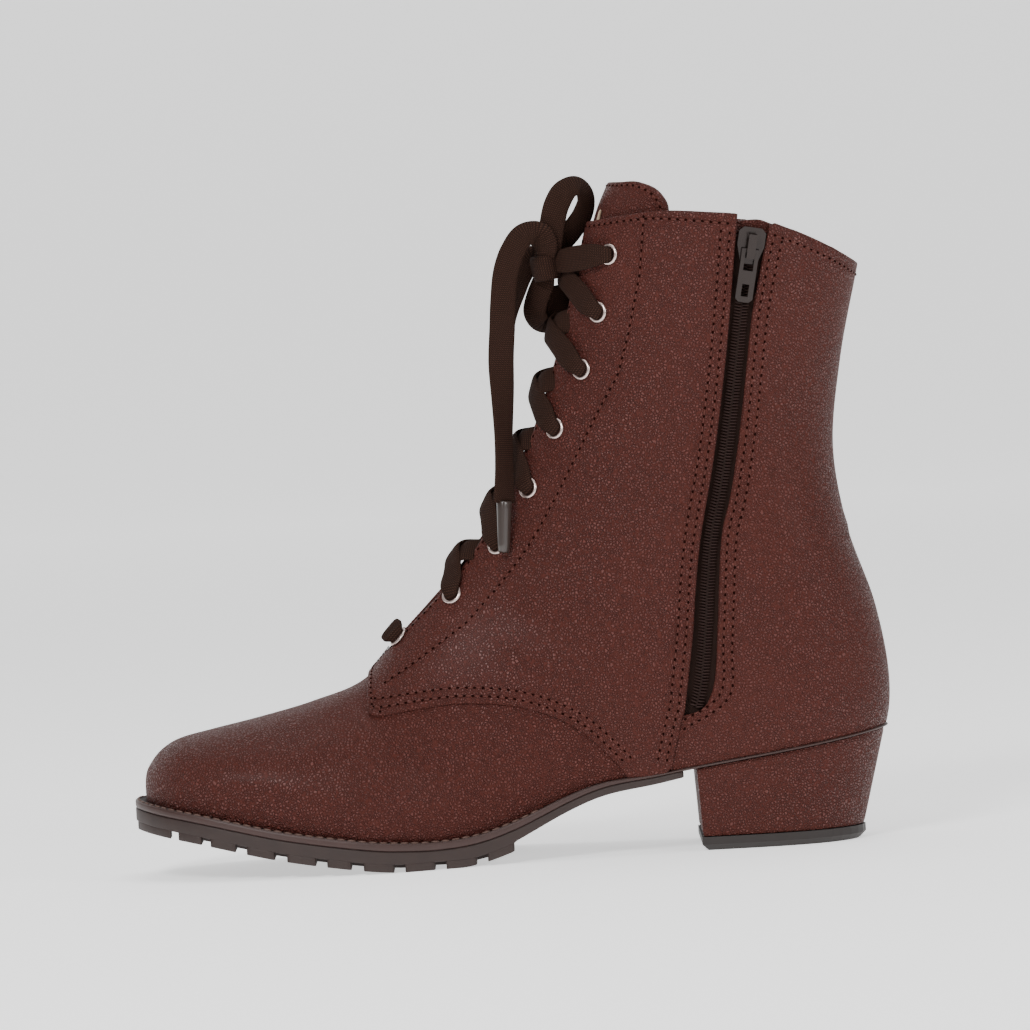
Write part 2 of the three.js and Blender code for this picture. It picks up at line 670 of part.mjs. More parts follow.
// Heel

// Rings of the heel block: the back of the footprint, drawn in towards the floor.
function heelRing(height, grow) {
  const plan = grownFootprint(() => grow - HEEL_INSET);
  const front = HEEL_FRONT - HEEL_RAKE;
  const back = plan.heel.x;
  const outer = plan.outer.filter((p) => p.x > front + 2);
  const inner = plan.inner.filter((p) => p.x > front + 2);
  const ring = [
    new THREE.Vector2(front, edgeAt(plan, front, -1)),
    new THREE.Vector2(front, edgeAt(plan, front, 1)),
    ...outer, plan.heel, ...inner.slice().reverse(),
  ];
  const topWidth = edgeAt(plan, 0, 1) - edgeAt(plan, 0, -1);
  return ring.map((p) => {
    const seatZ = featherZ(p.x) - SEAT_THICKNESS - CLEARANCE;
    const share = height(p.x, seatZ);
    const drop = 1 - share.share;
    const bottomX = THREE.MathUtils.mapLinear(p.x, front, back, HEEL_FRONT - grow, HEEL_LENGTH / 2 + 2 + grow);
    const bottomY = p.y * (HEEL_BOTTOM_WIDTH + 2 * grow) / topWidth;
    return new THREE.Vector3(
      THREE.MathUtils.lerp(p.x, bottomX, drop),
      THREE.MathUtils.lerp(p.y, bottomY, drop),
      share.z,
    );
  });
}

function heelBlock() {
  const top = heelRing((x, seatZ) => ({ share: 1, z: seatZ }), 0);
  const bottom = heelRing(() => ({ share: 0, z: TOP_LIFT_THICKNESS + CLEARANCE }), 0);
  return loft([top, bottom]);
}

function topLift() {
  const ring = (z, grow) => heelRing(() => ({ share: 0, z }), grow);
  const rings = [
    ring(TOP_LIFT_THICKNESS, TOP_LIFT_EDGE), ring(TOP_LIFT_BEVEL, TOP_LIFT_EDGE), ring(0, TOP_LIFT_EDGE - TOP_LIFT_BEVEL),
  ];
  return loft(rings);
}

// Eyelets

const TOP_EYELET = EYELET_PLACES.length - 1;

function eyelet(place) {
  const top = CLEARANCE + EYELET_FLANGE;
  const barrel = EYELET_HOLE_RADIUS + EYELET_BARREL;
  const bottom = -(WALL + QUARTER_STEP);
  const profile = [
    [EYELET_HOLE_RADIUS, bottom], [barrel, bottom], [barrel, CLEARANCE],
    [EYELET_RADIUS, CLEARANCE], [EYELET_RADIUS, top], [EYELET_HOLE_RADIUS, top], [EYELET_HOLE_RADIUS, bottom],
  ].map(([radius, height]) => new THREE.Vector2(radius, height));
  return seat(new THREE.LatheGeometry(profile, EYELET_SIDES).rotateX(Math.PI / 2), place);
}

// Lace

const BAND_CORNERS = [[-1, 0], [-0.85, 1], [0.85, 1], [1, 0], [0.85, -1], [-0.85, -1]];

// A flat band along points. Each stop has a place and the direction that the band's face looks in.
function band(stops, width, thickness) {
  const rings = stops.map(({ point, face }, i) => {
    const before = stops[Math.max(i - 1, 0)].point;
    const after = stops[Math.min(i + 1, stops.length - 1)].point;
    const along = after.clone().sub(before).normalize();
    const across = along.clone().cross(face).normalize();
    const out = across.clone().cross(along).normalize();
    return BAND_CORNERS.map(([x, y]) => point.clone()
      .addScaledVector(across, x * width / 2)
      .addScaledVector(out, y * thickness / 2));
  });
  return loft(rings);
}

// A strand over the throat between two eyelets, up to a share of the way, lifted most in the middle.
function strand(from, to, fromShare, toShare, bulge) {
  const stops = [];
  const steps = 4;
  for (let i = 0; i <= steps; i += 1) {
    const t = THREE.MathUtils.lerp(fromShare, toShare, i / steps);
    const s = THREE.MathUtils.lerp(from.s, to.s, t);
    const u = THREE.MathUtils.lerp(from.u, to.u, t);
    const lift = QUARTER_STEP + CLEARANCE + LACE_THICKNESS / 2 + bulge * Math.sin(Math.PI * t) ** 0.7;
    const ridge = THREE.MathUtils.lerp(u, 0.5, 0.5);
    stops.push({ point: offsetPoint(s, u, lift), face: lastNormal(s, ridge) });
  }
  return toSolid(band(stops, LACE_WIDTH, LACE_THICKNESS));
}

// The share of the way between two eyelets that clears the first one's flange.
function clearOf(from, to) {
  const span = from.point.distanceTo(to.point);
  return (EYELET_RADIUS + 2 * CLEARANCE) / span;
}

// Two strands that meet in the middle and end short of the next row, where they dive under the facings.
function crossing(row, inner, outer) {
  const end = row + 1 < TOP_EYELET ? 0.74 : 0.5;
  const one = strand(inner[row], outer[row + 1], 0.16, end, CROSSING_BULGE);
  const other = strand(outer[row], inner[row + 1], 0.16, end, CROSSING_BULGE);
  return toGeometry(one.add(other));
}

function bar(row, inner, outer, bulge) {
  const start = clearOf(inner[row], outer[row]);
  return toGeometry(strand(inner[row], outer[row], start, 1 - start, bulge));
}

// Routes of the bow. Columns: x, y, z of a point in millimetres, then which way the band's face looks (x, y, z).
const END_FRONT_ROUTE = [
  [-78, -10.5, 224.5, 0.3, -0.6, 0.8], [-81, -11.5, 229.5, -0.2, -0.9, 0.6], [-85, -12, 228.8, -0.4, -1, 0.2],
  [-88.6, -13, 221.5, -0.3, -1, 0], [-90.8, -13.6, 210, -0.1, -1, 0], [-92.4, -14, 196, 0, -1, 0],
  [-93.6, -14.4, 182, 0.1, -1, 0], [-94.2, -14.6, 170, 0.5, -0.8, 0], [-95.4, -15, 156, 0.7, -0.7, 0],
  [-96.8, -15.6, 143, 0.7, -0.7, 0], [-98, -16.4, 134, 0.7, -0.7, 0],
];
const END_BACK_ROUTE = [
  [-80.8, 1.5, 221, -0.5, 0, 0.9], [-85, 2.5, 218, -0.8, 0, 0.6], [-88, 3, 210, -1, 0, 0.2],
  [-89.6, 1, 198, -1, 0, 0], [-91, -1, 186, -1, 0, 0], [-92.2, -3, 176, -1, 0, 0],
];
const LOOP_UP_ROUTE = [
  [-77.6, -1.5, 226.5, -0.7, -0.7, 0.1], [-75.5, -2, 234, -0.7, -0.7, 0.1], [-72.6, -3, 241.5, -0.7, -0.7, 0.3],
  [-67.5, -3, 247.3, -0.3, -0.7, 0.8], [-61.8, -2, 247.6, 0.5, -0.7, 0.6], [-59.2, -1, 242.2, 0.8, -0.7, 0],
  [-61.5, -1, 240, 0.7, -0.7, -0.3], [-67.5, -1, 237, 0.5, -0.7, -0.5], [-72.5, -2.5, 231.5, 0.4, -0.7, -0.6],
];
const LOOP_DOWN_ROUTE = [
  [-80, 4.5, 213.5, -0.9, 0.2, 0.3], [-82.5, 8, 207, -1, 0.2, 0], [-84, 11, 200.5, -1, 0.2, -0.2],
  [-82.5, 13.5, 195.5, -0.5, 0.2, -0.9], [-78.5, 15, 196, 0.4, 0.2, -0.9], [-76, 15, 202, 1, 0.2, -0.2],
  [-74.5, 13, 209, 1, 0.2, 0], [-73.6, 10, 215.5, 1, 0.2, 0.2],
];
const KNOT_PLACE = [-75.4, -1, 217.5];

function laceRoute(route) {
  const path = new THREE.CatmullRomCurve3(route.map(([x, y, z]) => new THREE.Vector3(x, y, z)), false, 'centripetal');
  const faces = new THREE.CatmullRomCurve3(route.map((row) => new THREE.Vector3(row[3], row[4], row[5])), false, 'catmullrom');
  const steps = Math.round(1.5 * (route.length - 1));
  const stops = [];
  for (let i = 0; i <= steps; i += 1) stops.push({ point: path.getPoint(i / steps), face: faces.getPoint(i / steps) });
  return band(stops, LACE_WIDTH, LACE_THICKNESS);
}

// The tip on a lace's end, going on the way that its route ends.
function aglet(route) {
  const [before, end] = route.slice(-2).map(([x, y, z]) => new THREE.Vector3(x, y, z));
  const way = end.clone().sub(before).normalize();
  const tip = new THREE.CylinderGeometry(AGLET_RADIUS, AGLET_RADIUS * 0.8, AGLET_LENGTH, 8);
  tip.rotateX(Math.PI / 2);
  const middle = end.clone().addScaledVector(way, CLEARANCE + AGLET_LENGTH / 2);
  const turn = new THREE.Quaternion().setFromUnitVectors(new THREE.Vector3(0, 0, -1), way);
  return tip.applyQuaternion(turn).translate(...middle.toArray());
}

function knot() {
  const lump = new THREE.SphereGeometry(KNOT_SIZE / 2, 10, 7);
  return lump.scale(0.95, 1.15, 1.1).translate(...KNOT_PLACE);
}

// Zip

// The slot's edge at a height given as a share of the last's.
function slotEdge(rows, share) {
  const sorted = rows.slice().sort((a, b) => a[1] - b[1]);
  let i = 0;
  while (i < sorted.length - 2 && sorted[i + 1][1] < share) i += 1;
  const t = (share - sorted[i][1]) / (sorted[i + 1][1] - sorted[i][1]);
  return sideX(THREE.MathUtils.lerp(sorted[i][0], sorted[i + 1][0], Math.max(t, 0)));
}

function zipLine(share) {
  return new THREE.Vector2((slotEdge(ZIP_FRONT, share) + slotEdge(ZIP_BACK, share)) / 2, sideZ(share));
}

// A strip behind the slot, following the last between two offsets.
function backing(outside, inside, margin, top) {
  const bottom = ZIP_FRONT[0][1] - BACKING_FOOT;
  const front = [];
  const back = [];
  for (let i = 0; i <= BACKING_STEPS; i += 1) {
    const share = THREE.MathUtils.lerp(bottom, top, i / BACKING_STEPS);
    front.push(new THREE.Vector2(slotEdge(ZIP_FRONT, share) - margin, sideZ(share)));
    back.push(new THREE.Vector2(slotEdge(ZIP_BACK, share) + margin, sideZ(share)));
  }
  const strip = sidePlate([...front, ...back.reverse()], -BIG, 0);
  return toGeometry(lastWall(outside, inside).intersect(strip).subtract(overCollar()));
}

function zipTape() {
  const outside = -(WALL + CLEARANCE);
  return backing(outside, outside - TAPE_THICKNESS, TAPE_MARGIN, TAPE_TOP);
}

function zipGuard() {
  const outside = -(WALL + 2 * CLEARANCE + TAPE_THICKNESS);
  return backing(outside, outside - GUARD_THICKNESS, GUARD_MARGIN, GUARD_TOP);
}

function zipCoil() {
  const lift = -WALL + COIL_HEIGHT / 2;
  const top = SLIDER_PLACE - (SLIDER_LENGTH / 2 + CLEARANCE) / LAST_HEIGHT;
  const bottom = ZIP_FRONT[0][1] + 0.02;
  const stops = [];
  for (let i = 0; i <= COIL_STEPS; i += 1) {
    const middle = zipLine(THREE.MathUtils.lerp(bottom, top, i / COIL_STEPS));
    const { point, normal } = placeOnSide(middle.x, middle.y, -1, lift);
    stops.push({ point, face: normal });
  }
  return band(stops, COIL_WIDTH, COIL_HEIGHT);
}

function sliderPlace() {
  const middle = zipLine(SLIDER_PLACE);
  const below = zipLine(SLIDER_PLACE - SLIDER_LENGTH / LAST_HEIGHT);
  const way = new THREE.Vector3(middle.x - below.x, 0, middle.y - below.y).normalize();
  return { place: placeOnSide(middle.x, middle.y, -1, -WALL), way };
}

const CROWN_TUNNEL = PULL_THICKNESS * Math.SQRT2 + 2 * HINGE_PLAY;
const HINGE_Y = -(CROWN_LENGTH / 2 - CROWN_BAR - CROWN_TUNNEL / 2);
const HINGE_Z = SLIDER_THICKNESS + CROWN_TUNNEL / 2;

// The slider's plate lies on the coil, and its crown bridges the pull's hinge bar.
function zipSlider() {
  const half = SLIDER_WIDTH / 2;
  const end = SLIDER_LENGTH / 2;
  const corner = SLIDER_WIDTH / 6;
  const shape = new THREE.Shape([
    [-SLIDER_NOSE / 2, -end], [SLIDER_NOSE / 2, -end], [half, 0], [half, end - corner], [half - corner, end],
    [corner - half, end], [-half, end - corner], [-half, 0],
  ].map(([x, y]) => new THREE.Vector2(x, y)));
  const plate = toSolid(new THREE.ExtrudeGeometry(shape, { depth: SLIDER_THICKNESS, bevelEnabled: false }));
  const tall = CROWN_TUNNEL + CROWN_BAR;
  const crown = toSolid(box(CROWN_WIDTH, CROWN_LENGTH, tall + 1, 0, 0, SLIDER_THICKNESS + (tall - 1) / 2));
  const tunnel = box(2 * CROWN_WIDTH, CROWN_LENGTH - 2 * CROWN_BAR, CROWN_TUNNEL, 0, 0, HINGE_Z);
  const solid = plate.add(crown.subtract(toSolid(tunnel)));
  const { place, way } = sliderPlace();
  return seat(toGeometry(solid), place, way);
}

function zipPull() {
  const bar = PULL_THICKNESS / 2;
  const outline = new THREE.Shape();
  const half = PULL_WIDTH / 2;
  const corner = PULL_WIDTH / 5;
  outline.moveTo(-half, bar).lineTo(-half, corner - PULL_LENGTH).lineTo(corner - half, -PULL_LENGTH);
  outline.lineTo(half - corner, -PULL_LENGTH).lineTo(half, corner - PULL_LENGTH).lineTo(half, bar);
  const opening = (halfWidth, from, to) => new THREE.Path([
    new THREE.Vector2(-halfWidth, from), new THREE.Vector2(halfWidth, from),
    new THREE.Vector2(halfWidth, to), new THREE.Vector2(-halfWidth, to),
  ]);
  const windowHalf = CROWN_WIDTH / 2 + CLEARANCE;
  const slotEnd = PULL_LENGTH - PULL_WIDTH / 3;
  outline.holes.push(opening(windowHalf, -PULL_WINDOW, -bar));
  outline.holes.push(opening(PULL_WIDTH / 5, -slotEnd, PULL_SLOT_LENGTH - slotEnd));
  const tab = new THREE.ExtrudeGeometry(outline, { depth: PULL_THICKNESS, bevelEnabled: false });
  tab.translate(0, HINGE_Y, HINGE_Z - bar);
  const { place, way } = sliderPlace();
  return seat(tab, place, way);
}

add('upper', upper(), LEATHER);
add('tongue', tongue(), LEATHER);
add('insole', insole(), LINING);
add('welt', weltLayer(), WELT);
add('outsole', outsole(), RUBBER);
add('heel_block', heelBlock(), LEATHER);
add('top_lift', topLift(), TOP_LIFT);

const INNER_EYELETS = eyeletPlaces(-1);
const OUTER_EYELETS = eyeletPlaces(1);
INNER_EYELETS.forEach((place, i) => add(`eyelet_inner_${i + 1}`, eyelet(place), EYELET_METAL));
OUTER_EYELETS.forEach((place, i) => add(`eyelet_outer_${i + 1}`, eyelet(place), EYELET_METAL));

add('lace_bar_bottom', bar(0, INNER_EYELETS, OUTER_EYELETS, CROSSING_BULGE), LACE);
for (let row = 1; row < TOP_EYELET; row += 1) {
  add(`lace_crossing_${row}`, crossing(row, INNER_EYELETS, OUTER_EYELETS), LACE);
}
add('lace_bar_top', bar(TOP_EYELET, INNER_EYELETS, OUTER_EYELETS, TOP_BAR_BULGE), LACE);
add('lace_knot', knot(), LACE);
add('lace_loop_up', laceRoute(LOOP_UP_ROUTE), LACE);
add('lace_loop_down', laceRoute(LOOP_DOWN_ROUTE), LACE);
add('lace_end_front', laceRoute(END_FRONT_ROUTE), LACE);
add('lace_end_back', laceRoute(END_BACK_ROUTE), LACE);
add('aglet_front', aglet(END_FRONT_ROUTE), AGLET);
add('aglet_back', aglet(END_BACK_ROUTE), AGLET);

add('zip_tape', zipTape(), TAPE);
add('zip_guard', zipGuard(), LEATHER);
add('zip_coil', zipCoil(), ZIP_PLASTIC);
add('zip_slider', zipSlider(), ZIP_METAL);
add('zip_pull', zipPull(), ZIP_METAL);

export default boot;
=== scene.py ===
"""Looks of a lace-up ankle boot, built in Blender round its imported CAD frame.

The upper is a set of leather panels laid on one last surface, each a closed mesh cut
from its outline with rounded edges. Laces are flat bands led through the eyelets.
Stitches and zip teeth are scattered by Geometry Nodes. All lengths are millimetres
until a mesh is made, and metres from there on.
"""
import math

import bmesh
import bpy
import numpy as np
from mathutils import Matrix, Vector
from mathutils.geometry import delaunay_2d_cdt


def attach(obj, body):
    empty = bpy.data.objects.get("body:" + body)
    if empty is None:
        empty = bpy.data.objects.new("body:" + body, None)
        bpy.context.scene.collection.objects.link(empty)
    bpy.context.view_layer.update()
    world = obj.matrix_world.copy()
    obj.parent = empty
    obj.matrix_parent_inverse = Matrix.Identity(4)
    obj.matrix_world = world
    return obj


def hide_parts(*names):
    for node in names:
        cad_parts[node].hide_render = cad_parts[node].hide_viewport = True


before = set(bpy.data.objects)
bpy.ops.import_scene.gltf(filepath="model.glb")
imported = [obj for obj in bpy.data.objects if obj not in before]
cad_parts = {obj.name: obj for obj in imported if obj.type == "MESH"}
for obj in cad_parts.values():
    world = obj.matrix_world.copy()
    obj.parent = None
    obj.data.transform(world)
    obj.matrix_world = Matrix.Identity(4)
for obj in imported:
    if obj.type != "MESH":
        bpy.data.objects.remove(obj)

bl_info = {
    "name": "Lace-up ankle boot",
    "version": (1, 0, 0),
    "blender": (4, 5, 0),
    "location": "3D View > Sidebar > Boot",
    "description": "Builds a lace-up ankle boot round its CAD frame",
    "category": "Add Mesh",
}

# Sizes in millimetres, the same as the CAD part's
LAST_LENGTH = 278
LAST_HEIGHT = 225.6
BALL_WIDTH = 93
SOLE_DEPTH = 10.4
WALL = 2.2
QUARTER_STEP = 1.3
THROAT_GAP = 9
THROAT_GAP_TOP = 15
THROAT_ROW = 8.3
TONGUE_THICKNESS = 1.8
WELT_THICKNESS = 3.3
SEAT_THICKNESS = 1.2
WELT_REACH = 4.2
HEEL_FRONT = -29.3
BALL_BACK = -0.356 * LAST_LENGTH
EYELET_RADIUS = 4
EYELET_HOLE = 2.7
LACE_WIDTH = 9.5
LACE_THICKNESS = 1.8
LEATHER_UNDER = -0.98
STITCH_LIFT = 0.12
EDGE_RINGS = (0.22, 0.6, 1.3)
SIDES = ((-1, "inner"), (1, "outer"))

SECTIONS = [
    [-0.844, 0.096, -0.844, 0.096, 0.000, 0.000, 0.50, 2.0, 2.0, -0.038],
    [-0.842, 0.123, -0.841, 0.062, 0.086, 0.086, 0.50, 2.2, 2.0, -0.038],
    [-0.835, 0.141, -0.833, 0.040, 0.153, 0.153, 0.50, 2.6, 2.0, -0.038],
    [-0.820, 0.162, -0.818, 0.029, 0.231, 0.231, 0.50, 3.0, 2.0, -0.037],
    [-0.795, 0.179, -0.793, 0.020, 0.312, 0.312, 0.50, 4.0, 2.0, -0.032],
    [-0.750, 0.191, -0.748, 0.012, 0.392, 0.392, 0.50, 5.0, 2.1, -0.024],
    [-0.683, 0.207, -0.676, -0.008, 0.458, 0.458, 0.46, 6.0, 2.0, -0.006],
    [-0.612, 0.228, -0.601, -0.028, 0.487, 0.492, 0.38, 6.0, 1.8, 0],
    [-0.543, 0.260, -0.514, -0.042, 0.482, 0.512, 0.31, 6.0, 1.6, 0],
    [-0.484, 0.336, -0.374, -0.031, 0.378, 0.452, 0.26, 6.0, 1.4, 0],
    [-0.424, 0.415, -0.219, 0.031, 0.314, 0.394, 0.26, 6.0, 1.35, 0],
    [-0.376, 0.488, -0.058, 0.049, 0.333, 0.370, 0.32, 7.0, 1.5, 0],
    [-0.345, 0.550, 0.043, 0.060, 0.344, 0.361, 0.38, 6.5, 1.7, 0],
    [-0.326, 0.597, 0.115, 0.082, 0.348, 0.357, 0.43, 4.5, 1.8, 0],
    [-0.309, 0.637, 0.148, 0.136, 0.349, 0.355, 0.45, 3.0, 1.9, 0],
    [-0.292, 0.685, 0.156, 0.220, 0.349, 0.352, 0.46, 2.5, 2.0, 0],
    [-0.274, 0.745, 0.142, 0.340, 0.344, 0.344, 0.47, 2.3, 2.0, 0],
    [-0.257, 0.809, 0.112, 0.464, 0.339, 0.339, 0.48, 2.2, 2.0, 0],
    [-0.241, 0.876, 0.098, 0.601, 0.340, 0.340, 0.49, 2.2, 2.05, 0],
    [-0.225, 0.945, 0.114, 0.743, 0.357, 0.357, 0.50, 2.2, 2.1, 0],
    [-0.208, 1.013, 0.142, 0.885, 0.383, 0.383, 0.50, 2.2, 2.1, 0],
    [-0.182, 1.078, 0.165, 1.018, 0.404, 0.404, 0.50, 2.2, 2.1, 0],
]
FEATHER = [
    [-0.900, 0.098], [-0.844, 0.082], [-0.766, 0.062], [-0.662, 0.031], [-0.558, 0.009], [-0.504, 0.002],
    [-0.453, 0.000], [-0.403, 0.006], [-0.353, 0.024], [-0.281, 0.060], [-0.230, 0.078], [-0.165, 0.086],
    [-0.101, 0.097], [0.043, 0.121], [0.200, 0.150],
]
COLLAR_FRONT = [
    [-0.270, 0.980], [-0.215, 0.988], [-0.164, 0.996], [-0.119, 1.000], [-0.066, 0.995], [0.003, 0.985],
]
COLLAR_BACK = [[0.020, 0.975], [0.079, 0.944], [0.131, 0.908], [0.200, 0.850]]
FACING_FRONT = [[-0.511, 0.312], [-0.532, 0.286], [-0.539, 0.250]]
VAMP_SEAM = [
    [-0.539, 0.207], [-0.524, 0.203], [-0.469, 0.211], [-0.410, 0.215], [-0.335, 0.203], [-0.269, 0.168],
    [-0.223, 0.115], [-0.203, 0.081], [-0.187, 0.030],
]
ZIP_FRONT = [
    [-0.122, 0.180], [-0.114, 0.242], [-0.105, 0.312], [-0.097, 0.396], [-0.087, 0.473], [-0.065, 0.594],
    [-0.045, 0.733], [-0.032, 0.844], [-0.017, 0.987],
]
SEAM_UNDER_ZIP = [[-0.152, 0.030], [-0.140, 0.105], [-0.126, 0.171]]
ZIP_BACK = [
    [0.026, 0.972], [0.009, 0.894], [-0.005, 0.817], [-0.025, 0.660], [-0.044, 0.541], [-0.060, 0.471],
    [-0.067, 0.394], [-0.073, 0.310], [-0.080, 0.233], [-0.092, 0.193],
]
TONGUE_EDGE = [
    [-0.576, 0.220], [-0.525, 0.211], [-0.460, 0.255], [-0.367, 0.362], [-0.273, 0.530], [-0.194, 0.707],
    [-0.144, 0.863], [-0.112, 0.985], [-0.122, 1.031], [-0.151, 1.053], [-0.173, 1.056],
]
EYELET_PLACES = [
    [-0.492, 0.321], [-0.419, 0.389], [-0.355, 0.468], [-0.309, 0.558],
    [-0.269, 0.653], [-0.230, 0.748], [-0.204, 0.840], [-0.185, 0.933],
]
LUG_GAPS = [
    [-0.803, 0.7], [-0.761, 0.8], [-0.715, 1], [-0.663, 1.1], [-0.610, 1], [-0.563, 1.1],
    [-0.508, 1], [-0.454, 1], [-0.399, 1],
]
# The bow. Columns: x, y, z of a point, then the way the band's face looks (x, y, z)
END_FRONT = [
    [-75.0, -6.5, 221.0, -0.2, -1, 0.1], [-75.4, -9.0, 226.5, -0.3, -1, 0.1],
    [-78.2, -10.6, 230.2, -0.2, -0.9, 0.3],
    [-83.0, -11.6, 229.9, -0.2, -0.9, 0.3], [-87.4, -12.4, 224.4, -0.2, -1, 0.1],
    [-90.4, -13.0, 216.7, 0, -1, 0],
    [-92.0, -13.4, 206.4, 0, -1, 0], [-93.0, -13.8, 195.4, 0, -1, 0], [-94.0, -14.2, 184.4, 0.1, -1, 0],
    [-94.2, -14.6, 171.5, 0.45, -0.9, 0], [-94.6, -15.0, 157.6, 0.7, -0.7, 0],
    [-95.0, -15.6, 144.4, 0.7, -0.7, 0],
    [-95.8, -16.4, 131.7, 0.6, -0.8, 0],
]
END_BACK = [
    [-72.0, -1.0, 214.0, -0.4, -0.8, 0.5], [-79.4, 1.5, 221.5, -0.3, -0.9, 0.3],
    [-84.0, 2.5, 217.0, -0.35, -0.9, 0.1],
    [-87.0, 2.2, 209, -0.7, -0.7, 0], [-89.8, 1, 198, -1, -0.4, 0], [-91, -1, 186, -1, -0.3, 0],
    [-92.2, -3, 176, -1, -0.2, 0],
]
LOOP_UP = [
    [-74.6, -4.5, 220.5, -0.2, -1, 0.1], [-73.6, -7.0, 227.0, -0.1, -1, 0.1],
    [-72.2, -7.4, 234.0, -0.1, -1, 0.1],
    [-70.2, -7.2, 240.6, 0.1, -1, 0.35], [-66.4, -6.0, 246.0, 0.2, -0.75, 0.7],
    [-61.8, -4.2, 247.0, 0.5, -0.6, 0.6],
    [-59.4, -2.6, 242.6, 0.75, -0.7, 0.1], [-60.8, -1.6, 236.6, 0.6, -0.8, -0.2],
    [-65.2, -2.0, 230.6, 0.45, -0.85, -0.3],
    [-70.5, -3.0, 225.2, 0.3, -0.9, -0.3],
]
LOOP_DOWN = [
    [-76.8, -1.0, 212.0, -0.5, -0.9, 0], [-79.4, 1.0, 206.0, -0.45, -0.9, 0],
    [-80.4, 3.0, 200.6, -0.4, -0.85, -0.3],
    [-78.0, 5.0, 196.8, -0.2, -0.7, -0.7], [-74.2, 6.0, 198.0, 0.3, -0.8, -0.4],
    [-71.6, 5.0, 203.5, 0.5, -0.85, 0],
    [-71.8, 3.0, 210.5, 0.4, -0.9, 0.1],
]
KNOT_PLACE = (-75.4, -1, 217.5)
TAPE_MARGIN = 7
LUG_DEPTH = 2.8
LUG_REACH = 17
HEEL_INSET = 0.8
HEEL_LENGTH = 58.6
HEEL_BOTTOM_WIDTH = 54
HEEL_RAKE = 1.2
TOP_LIFT_THICKNESS = 5
SOLE_END = -31.2


def unit(rows):
    return rows / np.linalg.norm(rows, axis=-1, keepdims=True)


def run_length(line):
    """How far along a line each of its points lies."""
    return np.concatenate([[0], np.cumsum(np.linalg.norm(np.diff(line, axis=0), axis=1))])


def between(a, b, c, d, t):
    """A smooth step from b at t 0 to c at t 1, with a and d as the points before and after."""
    return 0.5 * (2 * b + (c - a) * t + (2 * a - 5 * b + 4 * c - d) * t**2 + (3 * b - a - 3 * c + d) * t**3)


# The last's surface, as a fine table of places and normals
ROWS = np.array(SECTIONS, float)
LAST_ROW = len(ROWS) - 1
S_STEPS = 20
U_STEPS = 720


def section(s):
    s = np.asarray(s, float)
    i = np.clip(np.floor(s).astype(int), 0, LAST_ROW - 1)
    return between(*(ROWS[np.clip(i + k, 0, LAST_ROW)] for k in (-1, 0, 1, 2)), (s - i)[..., None])


def quarter(v, bend):
    """One quarter of a section, from its widest place at v 0 to its end at v 1."""
    low = np.zeros_like(v)
    high = np.full_like(v, math.pi / 2)
    for _ in range(26):
        mid = (low + high) / 2
        less = np.arctan2(np.sin(mid) ** (2 / bend), np.cos(mid)) < v * math.pi / 2
        low = np.where(less, mid, low)
        high = np.where(less, high, mid)
    across = np.where(v >= 1, 0, np.cos(low))
    return across, np.where(v >= 1, 1, np.sin(low) ** (2 / bend))


def last_exact(s, u):
    rx, rz, bx, bz, inner, outer, widest, low_bend, high_bend, sway = np.moveaxis(section(s), -1, 0)
    u = np.mod(u, 1)
    side = np.where(u < 0.5, -1, 1)
    from_base = np.where(side < 0, u * 4, (1 - u) * 4)
    half = np.maximum(np.where(side < 0, inner, outer), 0)
    low = from_base < 1
    across, along = quarter(np.where(low, 1 - from_base, from_base - 1), np.where(low, low_bend, high_bend))
    share = np.where(low, widest * (1 - along), widest + (1 - widest) * along)
    x = (bx + (rx - bx) * share) * LAST_LENGTH
    z = SOLE_DEPTH + (bz + (rz - bz) * share) * LAST_HEIGHT
    return np.stack([x, (sway + side * half * across) * BALL_WIDTH, z], -1)


def make_table():
    s = np.linspace(0, LAST_ROW, LAST_ROW * S_STEPS + 1)
    u = np.arange(U_STEPS) / U_STEPS
    points = last_exact(*np.meshgrid(s, u, indexing="ij"))
    along = np.gradient(points, axis=0)
    round_ = np.roll(points, -1, 1) - np.roll(points, 1, 1)
    normals = np.cross(along, round_)
    size = np.linalg.norm(normals, axis=-1, keepdims=True)
    normals = normals / np.maximum(size, 1e-9)
    normals[0] = (-1, 0, 0)
    return points, normals


PLACES, NORMALS = make_table()
RING = np.linalg.norm(np.diff(PLACES, axis=1, append=PLACES[:, :1]), axis=-1).sum(1)
STEP = np.linalg.norm(np.diff(PLACES, axis=0), axis=-1)
REACH = np.concatenate([[0], np.cumsum(STEP.mean(1))])
SHARE = np.minimum(1, RING / np.maximum(2 * math.pi * REACH, 1e-6))
SHARE[:26] = 1
SHARE[26:] = np.minimum.accumulate(SHARE[26:])
REACH_ROWS = np.linspace(0, LAST_ROW, len(REACH))


def look_up(table, s, u):
    a = np.clip(np.asarray(s, float) * S_STEPS, 0, LAST_ROW * S_STEPS - 1e-6)
    b = np.mod(u, 1) * U_STEPS
    i, j = a.astype(int), b.astype(int) % U_STEPS
    fa, fb = (a - i)[..., None], (b - np.floor(b))[..., None]
    k = (j + 1) % U_STEPS
    near = table[i, j] * (1 - fb) + table[i, k] * fb
    far = table[i + 1, j] * (1 - fb) + table[i + 1, k] * fb
    return near * (1 - fa) + far * fa


def on_last(s, u, offset=0.0):
    normal = unit(look_up(NORMALS, s, u))
    return look_up(PLACES, s, u) + normal * np.asarray(offset)[..., None], normal


